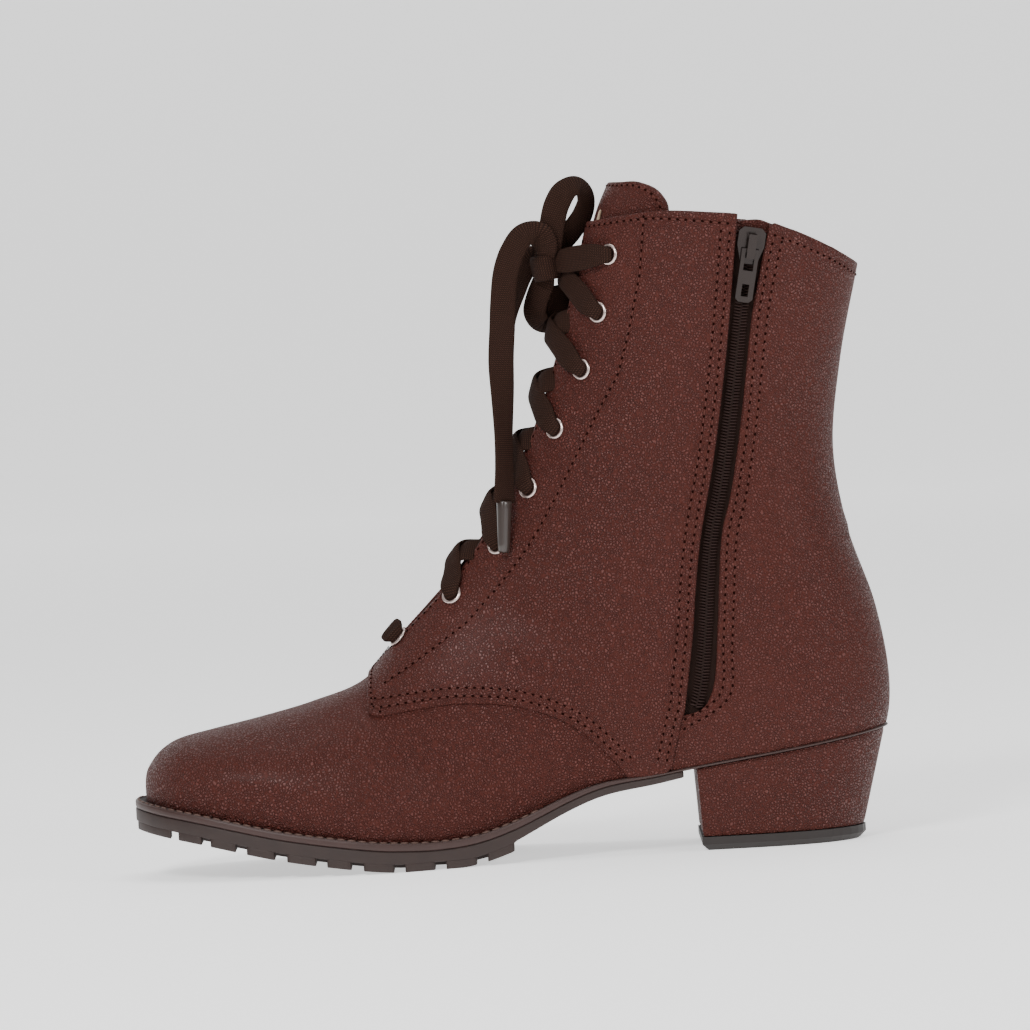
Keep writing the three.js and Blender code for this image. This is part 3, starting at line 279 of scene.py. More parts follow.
def on_side(points, side):
    """Row and turn (s, u) of places in the side view, on the inner (-1) or outer (1) side."""
    points = np.asarray(points, float)
    half = U_STEPS // 2
    cols = np.arange(2, half - 1) if side < 0 else np.arange(half + 2, U_STEPS - 1)
    grid = PLACES[::4][:, cols[::4]][..., [0, 2]]
    flat = grid.reshape(-1, 2)
    best = ((points[:, None] - flat[None]) ** 2).sum(-1).argmin(1)
    s = (best // grid.shape[1]) * 4 / S_STEPS
    u = cols[::4][best % grid.shape[1]] / U_STEPS
    low, high = (0.002, 0.498) if side < 0 else (0.502, 0.998)
    for _ in range(12):
        e = 0.004
        here = look_up(PLACES, s, u)[:, [0, 2]]
        ds = (look_up(PLACES, s + e, u)[:, [0, 2]] - look_up(PLACES, s - e, u)[:, [0, 2]]) / (2 * e)
        du = (look_up(PLACES, s, u + e)[:, [0, 2]] - look_up(PLACES, s, u - e)[:, [0, 2]]) / (2 * e)
        miss = points - here
        det = ds[:, 0] * du[:, 1] - ds[:, 1] * du[:, 0]
        det = np.where(abs(det) < 1, 1, det)
        s = np.clip(s + np.clip((miss[:, 0] * du[:, 1] - miss[:, 1] * du[:, 0]) / det, -0.4, 0.4), 0, LAST_ROW)
        u = np.clip(u + np.clip((ds[:, 0] * miss[:, 1] - ds[:, 1] * miss[:, 0]) / det, -0.03, 0.03), low, high)
    return np.stack([s, u], -1)


# Curves in the side view
def path(rows, steps=8):
    """A smooth line through rows of the tables, in millimetres."""
    rows = np.array(rows, float)
    p = np.vstack([rows[:1], rows, rows[-1:]])
    t = np.linspace(0, 1, steps, endpoint=False)[:, None]
    line = np.vstack([between(*p[i:i + 4], t) for i in range(len(p) - 3)] + [rows[-1:]])
    return line * (LAST_LENGTH, LAST_HEIGHT) + (0, SOLE_DEPTH)


def beside(line, gap):
    """The line moved sideways by a gap, to its left as it runs."""
    way = unit(np.gradient(line, axis=0))
    return line + gap * np.stack([-way[:, 1], way[:, 0]], -1)


def even(line, gap):
    """The line with its points an even gap apart."""
    line = np.asarray(line, float)
    far = run_length(line)
    at = np.linspace(0, far[-1], max(2, int(round(far[-1] / gap)) + 1))
    return np.stack([np.interp(at, far, line[:, k]) for k in range(line.shape[1])], -1)


def feather(x):
    line = path(FEATHER, 12)
    return np.interp(x, line[:, 0], line[:, 1])


def feather_turn(s, side, lift=0.0):
    """The turn at which each row comes out of the sole on one side."""
    turns = np.linspace(0, 0.5, 400)
    u = turns if side < 0 else 1 - turns
    p = look_up(PLACES, *np.meshgrid(s, u, indexing="ij"))
    above = p[..., 2] >= feather(p[..., 0]) + lift
    return u[above.argmax(1)]


def throat_turn(s, side, extra=0.0):
    """The turn of the throat's edge at each row, and so much further from the middle."""
    widening = (THROAT_GAP_TOP - THROAT_GAP) * (s - THROAT_ROW) / (LAST_ROW - THROAT_ROW)
    half = (THROAT_GAP + widening) / 2 + extra
    turns = np.linspace(0.5, 0.25, 500)
    u = turns if side < 0 else 1 - turns
    y = look_up(PLACES, *np.meshgrid(s, u, indexing="ij"))[..., 1]
    sway = look_up(PLACES, s, np.full(len(s), 0.5))[:, 1]
    return u[(abs(y - sway[:, None]) >= half[:, None]).argmax(1)]


# Flat map of the last, for cutting panels: rings become arcs of their true length
def to_flat(su, centre):
    s, u = su[:, 0], su[:, 1]
    turn = np.mod(u - centre + 0.5, 1) - 0.5
    reach = np.interp(s, REACH_ROWS, REACH)
    angle = 2 * math.pi * turn * np.interp(s, REACH_ROWS, SHARE)
    return np.stack([reach * np.cos(angle), reach * np.sin(angle)], -1)


def from_flat(p, centre):
    s = np.interp(np.hypot(p[:, 0], p[:, 1]), REACH, REACH_ROWS)
    turn = np.arctan2(p[:, 1], p[:, 0]) / (2 * math.pi * np.interp(s, REACH_ROWS, SHARE))
    return np.stack([s, turn + centre], -1)


def inside(points, outline):
    a, b = outline, np.roll(outline, -1, 0)
    hit = np.zeros(len(points), bool)
    for k in range(0, len(points), 4000):
        x, y = points[k:k + 4000, :1], points[k:k + 4000, 1:]
        cross = (a[:, 1] > y) != (b[:, 1] > y)
        with np.errstate(divide="ignore", invalid="ignore"):
            at = (b[:, 0] - a[:, 0]) * (y - a[:, 1]) / (b[:, 1] - a[:, 1]) + a[:, 0]
        hit[k:k + 4000] = (cross & (x < at)).sum(1) % 2 == 1
    return hit


def line_gap(points, line, closed=False):
    """How far points lie from a line of points, in two or three dimensions."""
    a = line if closed else line[:-1]
    b = np.roll(line, -1, 0) if closed else line[1:]
    way = b - a
    size = np.maximum((way**2).sum(1), 1e-12)
    out = np.empty(len(points))
    for k in range(0, len(points), 3000):
        rel = points[k:k + 3000, None] - a[None]
        t = np.clip((rel * way).sum(-1) / size, 0, 1)
        out[k:k + 3000] = np.sqrt(((rel - t[..., None] * way) ** 2).sum(-1).min(1))
    return out


def loop_inset(loop, gap):
    after, before = np.roll(loop, -1, 0), np.roll(loop, 1, 0)
    way = after - before
    way /= np.maximum(np.linalg.norm(way, axis=1, keepdims=True), 1e-9)
    area = (loop[:, 0] * after[:, 1] - after[:, 0] * loop[:, 1]).sum()
    return loop + gap * np.sign(area) * np.stack([-way[:, 1], way[:, 0]], -1)


def panel_plan(loops, grid, edge):
    """Flat points and triangles between an outline and its holes, denser at every edge."""
    low, high = loops[0].min(0), loops[0].max(0)
    gx, gy = np.meshgrid(np.arange(low[0], high[0], grid), np.arange(low[1], high[1], grid * 0.87))
    gx[1::2] += grid / 2
    field = np.stack([gx.ravel(), gy.ravel()], -1)
    field = field[inside(field, loops[0])]
    for loop in loops:
        field = field[line_gap(field, loop, True) > 1.3 * edge + 0.7]
        if loop is not loops[0]:
            field = field[~inside(field, loop)]
    verts, edges = [], []
    for number, loop in enumerate(loops):
        count = len(loop)
        start = len(verts)
        verts.extend(map(tuple, loop))
        edges.extend((start + i, start + (i + 1) % count) for i in range(count))
        for share in EDGE_RINGS:
            ring = loop_inset(loop, share * edge * (-1 if number else 1))
            verts.extend(map(tuple, ring[line_gap(ring, loop, True) > 0.12 * edge]))
    verts.extend(map(tuple, field))
    out = delaunay_2d_cdt([Vector(v) for v in verts], edges, [], 0, 1e-4)
    flat = np.array([tuple(v) for v in out[0]])
    faces = np.array([f for f in out[2] if len(f) == 3])
    middle = flat[faces].mean(1)
    good = inside(middle, loops[0])
    for loop in loops[1:]:
        good &= ~inside(middle, loop)
    used, faces = np.unique(faces[good], return_inverse=True)
    flat, faces = flat[used], faces.reshape(-1, 3)
    area = np.cross(flat[faces[:, 1]] - flat[faces[:, 0]], flat[faces[:, 2]] - flat[faces[:, 0]])
    return flat, np.where(area[:, None] < 0, faces[:, ::-1], faces)


def panel(outline, outer, inner, centre, grid=2.4, edge=0.9, relief=None, holes=()):
    """A leather panel: a closed shell between two offsets of the last, with a rounded outer edge.

    outline and holes are loops of (s, u). relief(points) gives extra height in millimetres.
    """
    loops = []
    for loop in (outline, *holes):
        flat = to_flat(np.vstack([loop, loop[:1]]), centre)
        loops.append(even(flat, 0.8 if loops else 1.1)[:-1])
    flat, faces = panel_plan(loops, grid, edge)
    base, normal = on_last(*from_flat(flat, centre).T)
    gap = np.full(len(flat), 1e9)
    for loop in loops:
        line = on_last(*from_flat(loop, centre).T)[0]
        gap = np.minimum(gap, line_gap(base, line, True))
    drop = edge * (1 - np.sqrt(np.clip(1 - (1 - np.clip(gap / edge, 0, 1)) ** 2, 0, 1)))
    height = outer - drop * min(1, (outer - inner) / (edge + 0.2))
    if relief is not None:
        height = height + relief(base) * np.clip(gap / 2.5, 0, 1)
    top = base + normal * height[:, None]
    count = len(top)
    points = np.vstack([top, base + normal * inner])
    out_way = np.cross(points[faces[:, 1]] - points[faces[:, 0]], points[faces[:, 2]] - points[faces[:, 0]])
    if (out_way * normal[faces[:, 0]]).sum() < 0:
        faces = faces[:, ::-1]
    sides = np.concatenate([faces[:, [0, 1]], faces[:, [1, 2]], faces[:, [2, 0]]])
    keys = {tuple(e) for e in sides.tolist()}
    rim = [(b, a, a + count, b + count) for a, b in keys if (b, a) not in keys]
    return points, faces.tolist() + (faces[:, ::-1] + count).tolist() + rim


# Meshes and objects
def make_mesh(name, points, faces, uv=None):
    mesh = bpy.data.meshes.new(name)
    mesh.from_pydata((np.asarray(points) / 1000).tolist(), [], [list(f) for f in faces])
    if uv is not None:
        layer = mesh.uv_layers.new(name="own")
        index = np.empty(len(mesh.loops), int)
        mesh.loops.foreach_get("vertex_index", index)
        layer.data.foreach_set("uv", np.asarray(uv, float)[index].ravel())
    mesh.shade_smooth()
    mesh.update()
    return mesh


def make_piece(name, shape, key, *stands_for):
    """A piece on the boot from (points, faces) or (points, faces, uv). Its slot is named like its material."""
    piece = bpy.data.objects.new(name, make_mesh(name, *shape))
    bpy.context.scene.collection.objects.link(piece)
    piece.data.materials.append(MATERIALS[key])
    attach(piece, "boot")
    if stands_for:
        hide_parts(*stands_for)
    return piece


def weld(piece, gap=1e-5):
    mesh = bmesh.new()
    mesh.from_mesh(piece.data)
    bmesh.ops.remove_doubles(mesh, verts=mesh.verts, dist=gap)
    mesh.to_mesh(piece.data)
    mesh.free()
    piece.data.shade_smooth()


# Materials
def new_material(name, color, rough, metal=0.0, gloss=0.5):
    material = bpy.data.materials.new(name)
    material.use_nodes = True
    shader = material.node_tree.nodes["Principled BSDF"]
    shader.inputs["Base Color"].default_value = (*color, 1)
    shader.inputs["Roughness"].default_value = rough
    shader.inputs["Metallic"].default_value = metal
    shader.inputs["Specular IOR Level"].default_value = gloss
    return material, material.node_tree, shader


def node(tree, kind, **values):
    made = tree.nodes.new(kind)
    for key, value in values.items():
        if hasattr(made, key):
            setattr(made, key, value)
        else:
            made.inputs[key.replace("_", " ")].default_value = value
    return made


def ranged(tree, value, **values):
    """A value moved from one range into another."""
    made = node(tree, "ShaderNodeMapRange", **values)
    tree.links.new(value, made.inputs["Value"])
    return made.outputs["Result"]


def combined(tree, operation, first, second):
    """Two values multiplied or added. The second may be a number."""
    made = node(tree, "ShaderNodeMath", operation=operation)
    tree.links.new(first, made.inputs[0])
    if isinstance(second, float):
        made.inputs[1].default_value = second
    else:
        tree.links.new(second, made.inputs[1])
    return made.outputs[0]


def noise(tree, scale, detail):
    """Noise in object coordinates, and the coordinates."""
    coords = tree.nodes.new("ShaderNodeTexCoord").outputs["Object"]
    made = node(tree, "ShaderNodeTexNoise", Scale=scale, Detail=detail)
    tree.links.new(coords, made.inputs["Vector"])
    return made, coords


def finish(tree, shader, tone, height, color, light, strength, distance):
    """Colour between two tones and a bump, each led by one value."""
    mix = tree.nodes.new("ShaderNodeMix")
    mix.data_type = "RGBA"
    mix.inputs[6].default_value = (*color, 1)
    mix.inputs[7].default_value = (*light, 1)
    tree.links.new(tone, mix.inputs[0])
    tree.links.new(mix.outputs[2], shader.inputs["Base Color"])
    bump = node(tree, "ShaderNodeBump", Strength=strength, Distance=distance)
    tree.links.new(height, bump.inputs["Height"])
    tree.links.new(bump.outputs["Normal"], shader.inputs["Normal"])


def leather_group():
    """Pebbled leather: gives a height, a tone and a roughness from object coordinates."""
    tree = bpy.data.node_groups.new("Pebbled leather", "ShaderNodeTree")
    for name in ("Grain", "Depth"):
        tree.interface.new_socket(name, in_out="INPUT", socket_type="NodeSocketFloat")
    for name in ("Height", "Tone", "Roughness"):
        tree.interface.new_socket(name, in_out="OUTPUT", socket_type="NodeSocketFloat")
    link = tree.links.new
    start, end = tree.nodes.new("NodeGroupInput"), tree.nodes.new("NodeGroupOutput")
    wobble, coords = noise(tree, 260.0, 2.0)
    shift = tree.nodes.new("ShaderNodeMix")
    shift.data_type = "VECTOR"
    shift.inputs[0].default_value = 0.0022
    link(coords, shift.inputs[4])
    link(wobble.outputs["Color"], shift.inputs[5])
    cells = node(tree, "ShaderNodeTexVoronoi", feature="DISTANCE_TO_EDGE")
    link(start.outputs["Grain"], cells.inputs["Scale"])
    link(shift.outputs[1], cells.inputs["Vector"])
    pebble = ranged(tree, cells.outputs["Distance"], interpolation_type="SMOOTHSTEP", From_Max=0.32)
    broad = noise(tree, 22.0, 3.0)[0]
    patch = ranged(tree, broad.outputs["Fac"], From_Min=0.3, From_Max=0.7, To_Min=0.55, To_Max=1.0)
    fine = noise(tree, 2600.0, 2.0)[0]
    tone = combined(tree, "MULTIPLY", pebble, patch)
    deep = combined(tree, "MULTIPLY", tone, start.outputs["Depth"])
    height = combined(tree, "ADD", deep, combined(tree, "MULTIPLY", fine.outputs["Fac"], 0.12))
    link(height, end.inputs["Height"])
    link(tone, end.inputs["Tone"])
    link(ranged(tree, tone, To_Min=0.75, To_Max=0.3), end.inputs["Roughness"])
    return tree


def leather_material(name, color, light):
    material, tree, shader = new_material(name, color, 0.5)
    pebbles = tree.nodes.new("ShaderNodeGroup")
    pebbles.node_tree = leather_group()
    pebbles.inputs["Grain"].default_value = 950.0
    pebbles.inputs["Depth"].default_value = 1.0
    finish(tree, shader, pebbles.outputs["Tone"], pebbles.outputs["Height"], color, light, 1.0, 0.0008)
    shine = ranged(tree, pebbles.outputs["Tone"], To_Min=0.15, To_Max=0.45)
    tree.links.new(pebbles.outputs["Roughness"], shader.inputs["Roughness"])
    tree.links.new(shine, shader.inputs["Specular IOR Level"])
    shader.inputs["Coat Weight"].default_value = 0.05
    shader.inputs["Coat Roughness"].default_value = 0.35
    return material


def woven_material(name, color, light, along, across):
    """A weave from the piece's own uv, in metres."""
    material, tree, shader = new_material(name, color, 0.85, gloss=0.12)
    uv = node(tree, "ShaderNodeUVMap", uv_map="own")
    waves = []
    for way, scale in (("DIAGONAL", along), ("X", across)):
        wave = node(tree, "ShaderNodeTexWave", Scale=scale, bands_direction=way, wave_profile="SIN",
                    Distortion=0.6, Detail_Scale=3.0)
        tree.links.new(uv.outputs["UV"], wave.inputs["Vector"])
        waves.append(wave.outputs["Fac"])
    both = combined(tree, "MULTIPLY", *waves)
    finish(tree, shader, both, both, color, light, 0.8, 0.0003)
    return material


def worn_material(name, color, light, rough, scale):
    """Rubber or moulded trim with a soft uneven tone."""
    material, tree, shader = new_material(name, color, rough)
    cloud = noise(tree, scale, 4.0)[0].outputs["Fac"]
    finish(tree, shader, cloud, cloud, color, light, 0.5, 0.0002)
    return material


# Scattering by Geometry Nodes
def scatter(name, places, along, out, size, key, slot, *stands_for):
    """One piece with a small solid at each place, its length along one way and its top the other way."""
    mesh = bpy.data.meshes.new(name)
    mesh.from_pydata((np.asarray(places) / 1000).tolist(), [], [])
    for field, values in (("along", along), ("out", out)):
        layer = mesh.attributes.new(field, "FLOAT_VECTOR", "POINT")
        layer.data.foreach_set("vector", np.asarray(values, float).ravel())
    seed = bpy.data.objects.new(name, mesh)
    bpy.context.scene.collection.objects.link(seed)
    tree = bpy.data.node_groups.new(name + " scatter", "GeometryNodeTree")
    for way in ("INPUT", "OUTPUT"):
        tree.interface.new_socket("Geometry", in_out=way, socket_type="NodeSocketGeometry")
    link = tree.links.new
    start, end = tree.nodes.new("NodeGroupInput"), tree.nodes.new("NodeGroupOutput")
    solid = node(tree, "GeometryNodeMeshUVSphere", Segments=8, Rings=6, Radius=0.5)
    smooth = node(tree, "GeometryNodeSetShadeSmooth", Shade_Smooth=True)
    sized = node(tree, "GeometryNodeTransform", Scale=tuple(v / 1000 for v in size))
    link(solid.outputs["Mesh"], smooth.inputs["Geometry"])
    link(smooth.outputs[0], sized.inputs["Geometry"])
    turns = []
    for field, axis, pivot in (("along", "X", "AUTO"), ("out", "Z", "X")):
        read = node(tree, "GeometryNodeInputNamedAttribute", data_type="FLOAT_VECTOR", Name=field)
        turn = node(tree, "FunctionNodeAlignRotationToVector", axis=axis, pivot_axis=pivot)
        link(read.outputs["Attribute"], turn.inputs["Vector"])
        turns.append(turn)
    link(turns[0].outputs[0], turns[1].inputs["Rotation"])
    spread = tree.nodes.new("GeometryNodeInstanceOnPoints")
    link(start.outputs[0], spread.inputs["Points"])
    link(sized.outputs[0], spread.inputs["Instance"])
    link(turns[1].outputs[0], spread.inputs["Rotation"])
    real = tree.nodes.new("GeometryNodeRealizeInstances")
    paint = node(tree, "GeometryNodeSetMaterial", Material=MATERIALS[key])
    link(spread.outputs[0], real.inputs[0])
    link(real.outputs[0], paint.inputs[0])
    link(paint.outputs[0], end.inputs[0])
    modifier = seed.modifiers.new("Scatter", "NODES")
    modifier.node_group = tree
    bpy.context.view_layer.update()
    graph = bpy.context.evaluated_depsgraph_get()
    made = bpy.data.meshes.new_from_object(seed.evaluated_get(graph), depsgraph=graph)
    seed.modifiers.remove(modifier)
    seed.data = made
    made.name = name
    if not made.materials:
        made.materials.append(MATERIALS[key])
    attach(seed, "boot")
    if stands_for:
        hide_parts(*stands_for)


def stitches(name, lines, key, slot, size, gap, start=0.5):
    """Rows of stitches along lines of (points, normals). size is length, width and height."""
    at, along, out = [], [], []
    for points, normals in lines:
        both = even(np.hstack([points, normals]), 0.4)
        far = run_length(both[:, :3])
        marks = np.arange(gap * start, far[-1] - gap / 2, gap)
        place = np.stack([np.interp(marks, far, both[:, k]) for k in range(6)], -1)
        ahead = np.stack([np.interp(marks + 0.5, far, both[:, k]) for k in range(3)], -1)
        at.append(place[:, :3])
        along.append(ahead - place[:, :3])
        out.append(place[:, 3:])
    scatter(name, np.vstack(at), np.vstack(along), np.vstack(out), size, key, slot)


def stitch_line(line, side, offset):
    """A row of stitches on the leather from a line in the side view."""
    su = on_side(even(line, 2.0), side)
    return on_last(su[:, 0], su[:, 1], offset)


# Bands and tubes
def smooth_route(rows, steps):
    """A smooth line through rows of any width, with the rows where they are."""
    rows = np.array(rows, float)
    far = np.concatenate([[0], np.cumsum(np.linalg.norm(np.diff(rows[:, :3], axis=0), axis=1) ** 0.5)])
    p = np.vstack([2 * rows[:1] - rows[1:2], rows, 2 * rows[-1:] - rows[-2:-1]])
    t = np.concatenate([[2 * far[0] - far[1]], far, [2 * far[-1] - far[-2]]])

    def part(x, a, b, first, second):
        return (t[b] - x) / (t[b] - t[a]) * first + (x - t[a]) / (t[b] - t[a]) * second

    out = []
    for i in range(1, len(p) - 2):
        x = np.linspace(t[i], t[i + 1], steps, endpoint=i == len(p) - 3)[:, None]
        a1, a2, a3 = (part(x, k, k + 1, p[k], p[k + 1]) for k in (i - 1, i, i + 1))
        b1, b2 = part(x, i - 1, i + 1, a1, a2), part(x, i, i + 2, a2, a3)
        out.append(part(x, i, i + 1, b1, b2))
    return np.vstack(out)


def sweep(rows, sides=14):
    """A flat band. Rows: x, y, z, face x, y, z, width, thickness. Returns points, faces, uv."""
    rows = np.asarray(rows, float)
    way = unit(np.gradient(rows[:, :3], axis=0))
    across = unit(np.cross(way, rows[:, 3:6]))
    out = np.cross(across, way)
    angle = np.arange(sides) / sides * 2 * math.pi
    cx, cy = np.cos(angle), np.sin(angle)
    x = np.sign(cx) * abs(cx) ** 0.55
    y = np.sign(cy) * abs(cy) ** 0.9
    points = (rows[:, None, :3] + across[:, None] * (x[None, :, None] * rows[:, None, 6:7] / 2)
              + out[:, None] * (y[None, :, None] * rows[:, None, 7:8] / 2))
    far = run_length(rows[:, :3])
    uv = np.stack([np.repeat(far[:, None], sides, 1), x[None] * rows[:, 6:7] / 2], -1).reshape(-1, 2) / 1000
    count = len(rows)
    faces = [[i * sides + j, (i + 1) * sides + j, (i + 1) * sides + (j + 1) % sides, i * sides + (j + 1) % sides]
             for i in range(count - 1) for j in range(sides)]
    faces += [list(range(sides)), [(count - 1) * sides + j for j in reversed(range(sides))]]
    return points.reshape(-1, 3), faces, uv


def joined(parts):
    points, faces, uv, start = [], [], [], 0
    for p, f, t in parts:
        points.append(p)
        uv.append(t)
        faces.extend([v + start for v in face] for face in f)
        start += len(p)
    return np.vstack(points), faces, np.vstack(uv)


def turned(profile, sides=48):
    """A ring turned round z from a closed profile of (radius, height)."""
    profile = np.array(profile, float)
    angle = np.arange(sides) / sides * 2 * math.pi
    r, h = profile[:, 0], profile[:, 1]
    points = np.stack([r[None] * np.cos(angle)[:, None], r[None] * np.sin(angle)[:, None],
                       np.repeat(h[None], sides, 0)], -1).reshape(-1, 3)
    n = len(profile)
    faces = [[i * n + j, (i + 1) % sides * n + j, (i + 1) % sides * n + (j + 1) % n, i * n + (j + 1) % n]
             for i in range(sides) for j in range(n)]
    return points, faces, np.zeros((len(points), 2))


def seat(points, place, normal, up=(0, 0, 1)):
    z = np.asarray(normal, float)
    y = np.asarray(up, float) - np.dot(up, z) * z
    y /= np.linalg.norm(y)
    return np.asarray(points) @ np.stack([np.cross(y, z), y, z]) + place


# Outlines on the last, as loops of (row, turn)
def row_at(u, line_z, low, high):
    """The row where each turn's ring passes a height given over x, looked for between two rows."""
    rows = np.linspace(low, high, 900)
    p = look_up(PLACES, *np.meshgrid(rows, u))
    return rows[(p[..., 2] >= line_z(p[..., 0])).argmax(1)]


COLLAR = np.vstack([path(COLLAR_FRONT, 10), path(COLLAR_BACK, 10)])


def collar_z(x):
    return np.interp(x, COLLAR[:, 0], COLLAR[:, 1])


def collar_loop(u):
    """The collar's edge. On the outer side it runs a little lower."""
    turn = np.mod(u, 1)
    drop = 1.5 * np.clip(np.minimum((1 - turn) / 0.08, (turn - 0.5) / 0.04), 0, 1)[:, None]
    return np.stack([row_at(u, lambda x: collar_z(x) - drop, 17, LAST_ROW), u], -1)


def sole_loop(side, low, high, lift=-0.8, count=90):
    """The line where the sole starts, between two shares of its length from toe to heel."""
    def under(s):
        p = look_up(PLACES, np.array([s]), np.array([0.0]))[0]
        return p[2] < feather(p[0]) + lift
    rows = np.linspace(0, LAST_ROW, 2000)
    below = [s for s in rows if under(s)]
    turn = np.linspace(0, math.pi, count)
    s = below[0] + (below[-1] - below[0]) * (1 - np.cos(turn)) / 2
    u = feather_turn(s[1:-1], side, lift)
    end = 0.0 if side < 0 else 1.0
    line = np.stack([s, np.concatenate([[end], u, [end]])], -1)
    x = look_up(PLACES, line[:, 0], line[:, 1])[:, 0]
    return line[(x >= low) & (x <= high)]


def clipped(line, lift=-0.8):
    return line[line[:, 1] > feather(line[:, 0]) + lift]


ZIP_FOOT = np.array([(-22.2, 63), (-23.3, 58.8), (-25.7, 54.0), (-28.6, 51.7), (-34.0, 50.6), (-39.5, 50.4)])


def vamp_outline():
    seam = clipped(beside(path(VAMP_SEAM), 6.0))
    seam = np.vstack([[(-0.512 * LAST_LENGTH, SOLE_DEPTH + 0.292 * LAST_HEIGHT)], seam[seam[:, 0] > -142]])
    inner, outer = (on_side(even(seam, 2.5), side) for side in (-1, 1))
    end = seam[-1, 0]
    front = {side: sole_loop(side, -400, end) for side in (-1, 1)}
    top = np.array([[8.3, 0.5]])
    return np.vstack([front[-1], inner[::-1], top, outer, front[1][::-1][:-1]])


def quarter_outline(side):
    seam = clipped(path(VAMP_SEAM))
    lower = clipped(path(SEAM_UNDER_ZIP))
    back = np.vstack([lower, path(ZIP_FRONT)[1:]])
    back = back[back[:, 1] < collar_z(back[:, 0])]
    bottom = sole_loop(side, seam[-1, 0], lower[0, 0])
    back_su = on_side(even(back, 2.0), side)
    top_turn = np.linspace(back_su[-1, 1], throat_turn(np.array([20.4]), side)[0], 40)
    facing = on_side(even(path(FACING_FRONT), 1.5), side)
    top = collar_loop(top_turn)
    rows = np.linspace(top[-1, 0], facing[0, 0] + 0.1, 60)
    throat = np.stack([rows, throat_turn(rows, side)], -1)
    front = on_side(even(seam, 2.0), side)
    return np.vstack([front, bottom, back_su, top[:-1], throat, facing])


def rear_outline():
    inner = np.vstack([[(-40.5, feather(-40.5) - 0.8)], [(-40.2, 40)], ZIP_FOOT[::-1], zip_back(64, 0)])
    inner = on_side(even(inner, 1.5), -1)
    outer = beside(np.vstack([clipped(path(SEAM_UNDER_ZIP)), path(ZIP_FRONT)[1:]]), 6.0)
    outer = outer[outer[:, 1] < collar_z(outer[:, 0])]
    outer = on_side(even(outer, 2.0), 1)
    turns = np.linspace(inner[-1, 1], outer[-1, 1] - 1, 90)
    inner_sole = sole_loop(-1, -40.5, 400)
    outer_sole = sole_loop(1, look_up(PLACES, outer[:1, 0], outer[:1, 1])[0, 0], 400)
    return np.vstack([inner, collar_loop(turns)[1:-1], outer[::-1], outer_sole, inner_sole[::-1][1:]])


def tongue_outline():
    line = even(path(TONGUE_EDGE), 2.0)
    inner, outer = (su[su[:, 0] > 8.0] for su in (on_side(line, side) for side in (-1, 1)))
    return np.vstack([inner, outer[::-1]])


def backing_outline(front, back, low, high):
    f, b = path(ZIP_FRONT), path(ZIP_BACK)[::-1]
    z = np.linspace(low, high, 40)
    front_line = np.stack([np.interp(z, f[:, 1], f[:, 0]) - front, z], -1)
    back_line = np.stack([np.interp(z, b[:, 1], b[:, 0]) + back, z], -1)
    x = np.linspace(front_line[-1, 0], back_line[-1, 0], 14)
    loop = np.vstack([front_line, np.stack([x, np.full(14, high)], -1)[1:-1], back_line[::-1]])
    loop[:, 1] = np.minimum(loop[:, 1], collar_z(loop[:, 0]) - 0.7)
    return on_side(loop, -1)


def zip_back(low, gap):
    """The zip's rear edge from a height up to a gap below the collar."""
    back = path(ZIP_BACK)[::-1]
    return back[(back[:, 1] > low) & (back[:, 1] < collar_z(back[:, 0]) - gap)]


def zip_middle(z):
    f, b = path(ZIP_FRONT), path(ZIP_BACK)[::-1]
    x = (np.interp(z, f[:, 1], f[:, 0]) + np.interp(z, b[:, 1], b[:, 0])) / 2
    su = on_side(np.stack([x, z], -1), -1)
    return on_last(su[:, 0], su[:, 1], -WALL)


# Soft creases, as ridges and troughs along lines: start, end, how wide, how high, in millimetres
CREASES = [
    (-1, (21.9, 110.6), (30.5, 112.6), 1.6, -0.55),
    (-1, (20.0, 114.0), (31.0, 116.0), 2.2, 0.35),
    (-1, (8.0, 96.0), (26.0, 101.0), 4.0, -0.35),
    (-1, (-92.0, 92.0), (-60.0, 74.0), 6.0, -0.5),
    (-1, (-98.0, 80.0), (-70.0, 62.0), 6.0, 0.4),
    (-1, (-150.0, 60.0), (-128.0, 40.0), 4.0, -0.45),
    (-1, (-158.0, 58.0), (-140.0, 36.0), 5.0, 0.3),
    (1, (-90.0, 94.0), (-58.0, 72.0), 6.0, -0.5),
    (1, (-152.0, 60.0), (-130.0, 38.0), 4.0, -0.45),
    (1, (6.0, 98.0), (26.0, 104.0), 4.0, -0.4),
]


def creases(points):
    height = np.zeros(len(points))
    for side, a, b, wide, high in CREASES:
        line = even(np.array([a, ((a[0] + b[0]) / 2, (a[1] + b[1]) / 2 + 1.2), b], float), 2.0)
        gap = line_gap(points[:, [0, 2]], line)
        mask = np.sign(points[:, 1]) == side
        height += mask * high * np.exp(-((gap / wide) ** 2))
    x, y, z = points.T
    return height * settings().crease_height + 0.16 * np.sin(x / 17 + z / 23) * np.cos(y / 19 - z / 31)


# Scene
def stage_camera():
    scene = bpy.context.scene
    place, aim = Vector((-0.09205, -2.6, 0.225)), Vector((-0.09205, 0, 0.12643))
    forward = (aim - place).normalized()
    right = Vector((1, 0, 0))
    up = right.cross(forward)
    roll = math.radians(3.2)
    x = math.cos(roll) * right - math.sin(roll) * up
    y = math.sin(roll) * right + math.cos(roll) * up
    camera = bpy.data.objects.new("Camera", bpy.data.cameras.new("Camera"))
    camera.matrix_world = Matrix.Translation(place) @ Matrix((x, y, -forward)).transposed().to_4x4()
    camera.data.lens, camera.data.sensor_width = 244.94, 36
    camera.data.clip_start, camera.data.clip_end = 0.1, 30
    scene.collection.objects.link(camera)
    scene.camera = camera


